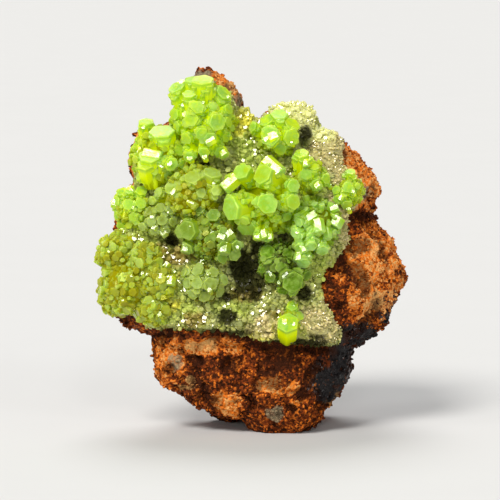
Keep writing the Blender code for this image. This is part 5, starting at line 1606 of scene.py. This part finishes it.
def crystal_group():
    """The colour of a crystal: clear green sides, a frosted end face with a pale rim, a dull foot, and a
    painted glow from the sides below the end.
    """
    inputs = [(name, COLOUR) for name in ("Side", "End", "Frost", "Foot")]
    outputs = [("Colour", COLOUR), ("Glow", COLOUR)]
    outputs += [(name, VALUE) for name in ("Roughness", "Coat", "Height")]
    tree, given, made = new_group(CRYSTAL_GROUP, inputs, outputs)
    place = own_place(tree)
    depth, rim, end, tint = (mask_node(tree, name) for name in ("depth", "rim", "end", "tint"))
    on_side = calculate(tree, "SUBTRACT", 1.0, end)
    clouds = grain_texture(tree, place, CRYSTAL_CLOUDS, 4.0, 0.55)
    mottle = grain_texture(tree, place, CRYSTAL_MOTTLE, 4.0, 0.6)
    specks = grain_texture(tree, place, CRYSTAL_SPECKS, 3.0, 0.6)
    deep = between(tree, step(tree, depth, 2.0, 7.0, 0.0, 0.9), given["Side"], given["Foot"])
    side = between(tree, step(tree, clouds, 0.4, 0.7, 0.0, 0.2), deep, given["End"])
    side = between(tree, step(tree, depth, 1.5, 0.0, 0.0, 0.8), side, given["End"])
    # Painted glow: the sides below the end, less towards the foot, give off their own colour, standing in for
    # light that passes through the crystal.
    painted_glow_band = product(tree, step(tree, depth, 0.2, 1.4), step(tree, depth, 4.0, 9.0, 1.0, 0.5))
    feed(tree, made["Glow"], between(tree, product(tree, painted_glow_band, on_side), (0.0, 0.0, 0.0), deep))
    colour = between(tree, end, side, end_face_colour(tree, given, clouds, mottle, tint))
    frosted = product(tree, rim, step(tree, specks, 0.25, 0.6, 0.3, 0.7))
    colour = between(tree, frosted, colour, given["Frost"])
    colour = between(tree, step(tree, tint, 0.7, 0.0, 0.0, 0.85), colour, given["Foot"])
    feed(tree, made["Colour"], colour)
    lit = lit_mask(tree)
    polish = step(tree, specks, 0.3, 0.7, 0.1, 0.2)
    feed(tree, made["Roughness"], weighed(tree, (polish, 1.0), (end, 0.06), (lit, LIT_DULLNESS)))
    streaks = weighed(tree, (mottle, 0.6), (specks, 0.4))
    feed(tree, made["Coat"], product(tree, lit, step(tree, streaks, 0.4, 0.56, 0.12, 0.85)))
    bands = product(tree, calculate(tree, "SINE", product(tree, depth, GROWTH_BANDS)), on_side)
    dimples = cell_texture(tree, place, CRYSTAL_DIMPLES)
    feed(tree, made["Height"], weighed(tree, (bands, 0.12), (specks, 0.4), (clouds, 0.8), (dimples, 0.35)))


def finish_of(name, group_name, **values):
    """A material whose colour, roughness and bumps come from a node group. Returns its shader too."""
    made = bpy.data.materials.new(name)
    made.use_nodes = True
    tree = made.node_tree
    surface = tree.nodes["Principled BSDF"]
    group = node(tree, "ShaderNodeGroup")
    group.node_tree = bpy.data.node_groups[group_name]
    for socket_name, value in values.items():
        feed(tree, group.inputs[socket_name], value)
    bump = node(tree, "ShaderNodeBump")
    tree.links.new(group.outputs["Height"], bump.inputs["Height"])
    tree.links.new(bump.outputs["Normal"], surface.inputs["Normal"])
    for output, socket in FED_SOCKETS.items():
        if output in group.outputs:
            tree.links.new(group.outputs[output], surface.inputs[socket])
    return made, surface, bump, group


def rock_finish(name, settings):
    names = ("rust", "orange", "brown", "black", "ochre", "grey")
    colours = {key.capitalize(): getattr(settings, key) for key in names}
    made, surface, bump, _ = finish_of(name, ROCK_GROUP, **colours)
    settle(surface, {"IOR": ROCK_IOR, "Coat Roughness": 0.18})
    settle(bump, {"Distance": 0.5 * MM, "Strength": 0.9})
    return made


def druse_finish(name, settings):
    """Tiny clear crystals, olive to cream, with a near-black painted shade in the hollows and along the
    crust's lower edge.
    """
    made, surface, bump, group = finish_of(name, GRAIN_GROUP, Size=DRUSE_GRAIN * MM)
    tree = made.node_tree
    grain = group.outputs["Mask"]
    tint, rim, dark, fan = (mask_node(tree, mask) for mask in ("tint", "rim", "dark", "fan"))
    colour = between(tree, grain, settings.olive, settings.grey)
    for zone in ("green", "ochre", "brownish", "cream", "fan"):
        share = product(tree, mask_node(tree, zone), step(tree, tint, 0.0, 0.6, 0.5, 0.95))
        colour = between(tree, share, colour, getattr(settings, zone))
    pale = product(tree, rim, step(tree, tint, 0.3, 1.0, 0.1, 0.6))
    colour = between(tree, pale, colour, settings.cream)
    dull = product(tree, step(tree, tint, 0.6, 0.0, 0.0, 0.45), step(tree, fan, 1.0, 0.0))
    colour = between(tree, dull, colour, settings.dark)
    # Painted shade: the hollows and the crust's lower edge take the near-black colour.
    colour = between(tree, product(tree, dark, 0.96), colour, settings.dark)
    tree.links.new(colour, surface.inputs["Base Color"])
    lit = lit_mask(tree)
    polish = step(tree, grain, 0.0, 1.0, 0.08, 0.26)
    rough = weighed(tree, (polish, 1.0), (lit, LIT_DULLNESS), (dark, 0.5))
    tree.links.new(rough, surface.inputs["Roughness"])
    coat = product(tree, lit, step(tree, dark, 0.5, 0.0, HOLLOW_COAT, DRUSE_LIT_COAT))
    tree.links.new(coat, surface.inputs["Coat Weight"])
    settle(surface, {
        "IOR": CRYSTAL_IOR, "Specular Tint": GLINT_TINT, "Coat Roughness": COAT_BLUR,
        "Subsurface Weight": 0.35, "Subsurface Radius": (1.0, 0.9, 0.3), "Subsurface Scale": 0.4 * MM,
    })
    settle(bump, {"Distance": 0.3 * MM, "Strength": 0.8})
    return made


def crystal_finish(name, look, settings):
    """The finish of one cluster's crystals, whose sides give off a painted glow. Their frost takes half of
    its colour from their ends.
    """
    colours = {part.capitalize(): getattr(settings, look + "_" + part) for part in ("side", "end", "foot")}
    colours["Frost"] = [(end + frost) / 2 for end, frost in zip(colours["End"], settings.frost)]
    made, surface, bump, _ = finish_of(name, CRYSTAL_GROUP, **colours)
    settle(surface, {
        "IOR": CRYSTAL_IOR, "Specular Tint": GLINT_TINT, "Coat Roughness": COAT_BLUR,
        "Subsurface Weight": 0.9, "Subsurface Radius": (1.0, 1.0, 0.15),
        "Subsurface Scale": settings.glow_depth, "Emission Strength": PAINTED_GLOW_STRENGTH,
    })
    settle(bump, {"Distance": 0.06 * MM, "Strength": 0.6})
    return made


def need_groups():
    """Makes the node groups that the materials share, once."""
    for name, build in ((GRAIN_GROUP, grain_group), (ROCK_GROUP, rock_group), (CRYSTAL_GROUP, crystal_group)):
        if name not in bpy.data.node_groups:
            build()


def all_growths():
    """The crystals and the lumps of each cluster, in the order in which the solids were made."""
    twists = random.Random(TWIST_SEED)
    growths = [(name, cluster_crystals(c, twists), [hub(c)]) for name, c in CLUSTERS.items()]
    return growths + [("left_botryoid", dome_crystals(), botryoid_lumps())]


# The operators.


class SPECIMEN_OT_stone(bpy.types.Operator):
    """Build the limonite matrix and the crumbs on it"""

    bl_idname = "specimen.stone"
    bl_label = "Stone"

    def execute(self, context):
        settings = context.scene.specimen.stone
        need_groups()
        mesh, masks = stone_mesh(settings)
        rock = add_piece("matrix_rock", mesh, "limonite_matrix", "limonite_matrix")
        crumbs = add_piece("matrix_crumbs", crumb_mesh(settings, mesh, masks), "limonite_matrix")
        for piece in (rock, crumbs):
            piece.data.materials.append(rock_finish(piece.name, settings))
        return {"FINISHED"}


class SPECIMEN_OT_druse(bpy.types.Operator):
    """Build the crust of small crystals"""

    bl_idname = "specimen.druse"
    bl_label = "Druse"

    def execute(self, context):
        settings = context.scene.specimen.druse
        need_groups()
        growths = all_growths()
        crystals = [crystal for _, members, _ in growths for crystal in members]
        lumps = [lump for _, _, members in growths for lump in members]
        balls = [(Vector((u, v, w)), Vector((u, v, w - GAP)), radius, 0.0) for u, v, w, radius in lumps]
        coats = {name: druse_crystals(settings, coat, lumps) for name, coat in DRUSE_COATS.items()}
        coats["fine"] += sprouts(crystals + balls)
        for name, members in coats.items():
            has_crust = name == "fine"
            mesh = druse_mesh("druse_" + name, members, crust_body() if has_crust else None)
            nodes = ["druse_crust"] if has_crust else []
            piece = add_piece(mesh.name, mesh, "druse_crust", *nodes)
            piece.data.materials.append(druse_finish(piece.name, settings))
        return {"FINISHED"}


class SPECIMEN_OT_clusters(bpy.types.Operator):
    """Build the clusters of large crystals"""

    bl_idname = "specimen.clusters"
    bl_label = "Crystal clusters"

    def execute(self, context):
        settings = context.scene.specimen.clusters
        need_groups()
        spread = random.Random(GROWTH_SEED)
        for name, crystals, lumps in all_growths():
            kinds = cluster_growth(name, crystals, lumps, settings.companions, spread)
            meshes = [crystal_mesh(c, spread, kind) for kind, members in kinds.items() for c in members]
            meshes += [lump_mesh(lump) for lump in lumps]
            piece = add_grown_piece(name + "_crystals", meshes, name)
            piece.data.materials.clear()
            piece.data.materials.append(crystal_finish(piece.name, CLUSTER_LOOKS[name][0], settings))
        return {"FINISHED"}


class SPECIMEN_OT_stage(bpy.types.Operator):
    """Build the floor, the lights and the camera"""

    bl_idname = "specimen.stage"
    bl_label = "Stage"

    def execute(self, context):
        settings = context.scene.specimen.stage
        build_floor(settings)
        build_lights(settings)
        build_camera(settings)
        context.scene.view_settings.view_transform = "Standard"
        return {"FINISHED"}


def build_floor(settings):
    """A plain pale floor, with a faint unevenness in its colour."""
    made = bmesh.new()
    bmesh.ops.create_grid(made, x_segments=8, y_segments=8, size=FLOOR_SIZE / 2)
    mesh = bpy.data.meshes.new("floor")
    made.to_mesh(mesh)
    made.free()
    add_object("floor", mesh)
    finish = bpy.data.materials.new("floor")
    finish.use_nodes = True
    tree = finish.node_tree
    surface = tree.nodes["Principled BSDF"]
    darker = [part * FLOOR_SHADE for part in settings.floor]
    clouds = grain_texture(tree, own_place(tree), FLOOR_CLOUDS)
    tree.links.new(between(tree, clouds, settings.floor, darker), surface.inputs["Base Color"])
    settle(surface, {"Roughness": 0.8, "Specular IOR Level": 0.2})
    mesh.materials.append(finish)


def add_light(name, from_side, width, colour, strength):
    """A soft light from far away, that shines evenly from one side."""
    lamp = bpy.data.lights.new(name, "SUN")
    lamp.angle = math.radians(width)
    lamp.energy = strength
    lamp.color = colour
    add_object(name, lamp).rotation_euler = (-Vector(from_side)).to_track_quat("-Z", "Y").to_euler()


def build_lights(settings):
    """A soft key light from the upper left, weaker ones from the other sides, and a pale sky."""
    for name, (from_side, width, colour) in LIGHTS.items():
        add_light(name, from_side, width, colour, getattr(settings, name + "_strength"))
    world = bpy.data.worlds.new("pale_sky")
    world.use_nodes = True
    settle(world.node_tree.nodes["Background"], {"Color": SKY_COLOUR, "Strength": settings.sky_strength})
    bpy.context.scene.world = world


def build_camera(settings):
    """The photograph's view of the display face, a little from above."""
    target = Vector(stand([(0.0, VIEW_HEIGHT, VIEW_DEPTH)])[0])
    lens = bpy.data.cameras.new("camera")
    lens.lens = settings.lens
    lens.sensor_width = SENSOR_WIDTH
    lens.clip_start = NEAREST_SEEN
    camera = add_object("camera", lens)
    back = Vector((0.0, -math.cos(CAMERA_TILT), math.sin(CAMERA_TILT)))
    camera.location = target + back * settings.distance
    camera.rotation_euler = (math.pi / 2 - CAMERA_TILT, 0.0, 0.0)
    bpy.context.scene.camera = camera


class SPECIMEN_PT_panel(bpy.types.Panel):
    """The specimen's parts and their sizes and colours"""

    bl_label = "Pyromorphite Specimen"
    bl_space_type = "VIEW_3D"
    bl_region_type = "UI"
    bl_category = "Specimen"

    def draw(self, context):
        settings = context.scene.specimen
        for part in ("stone", "druse", "clusters", "stage"):
            box = self.layout.box()
            box.operator("specimen." + part)
            values = getattr(settings, part)
            for name in values.__annotations__:
                box.prop(values, name)


CLASSES = (
    StoneSettings, DruseSettings, CrystalSettings, StageSettings, SpecimenSettings,
    SPECIMEN_OT_stone, SPECIMEN_OT_druse, SPECIMEN_OT_clusters, SPECIMEN_OT_stage, SPECIMEN_PT_panel,
)


def register():
    for added in CLASSES:
        bpy.utils.register_class(added)
    bpy.types.Scene.specimen = PointerProperty(type=SpecimenSettings)


def unregister():
    del bpy.types.Scene.specimen
    for added in reversed(CLASSES):
        bpy.utils.unregister_class(added)


def main():
    register()
    bpy.ops.specimen.stone()
    bpy.ops.specimen.druse()
    bpy.ops.specimen.clusters()
    bpy.ops.specimen.stage()


if __name__ == "__main__":
    main()
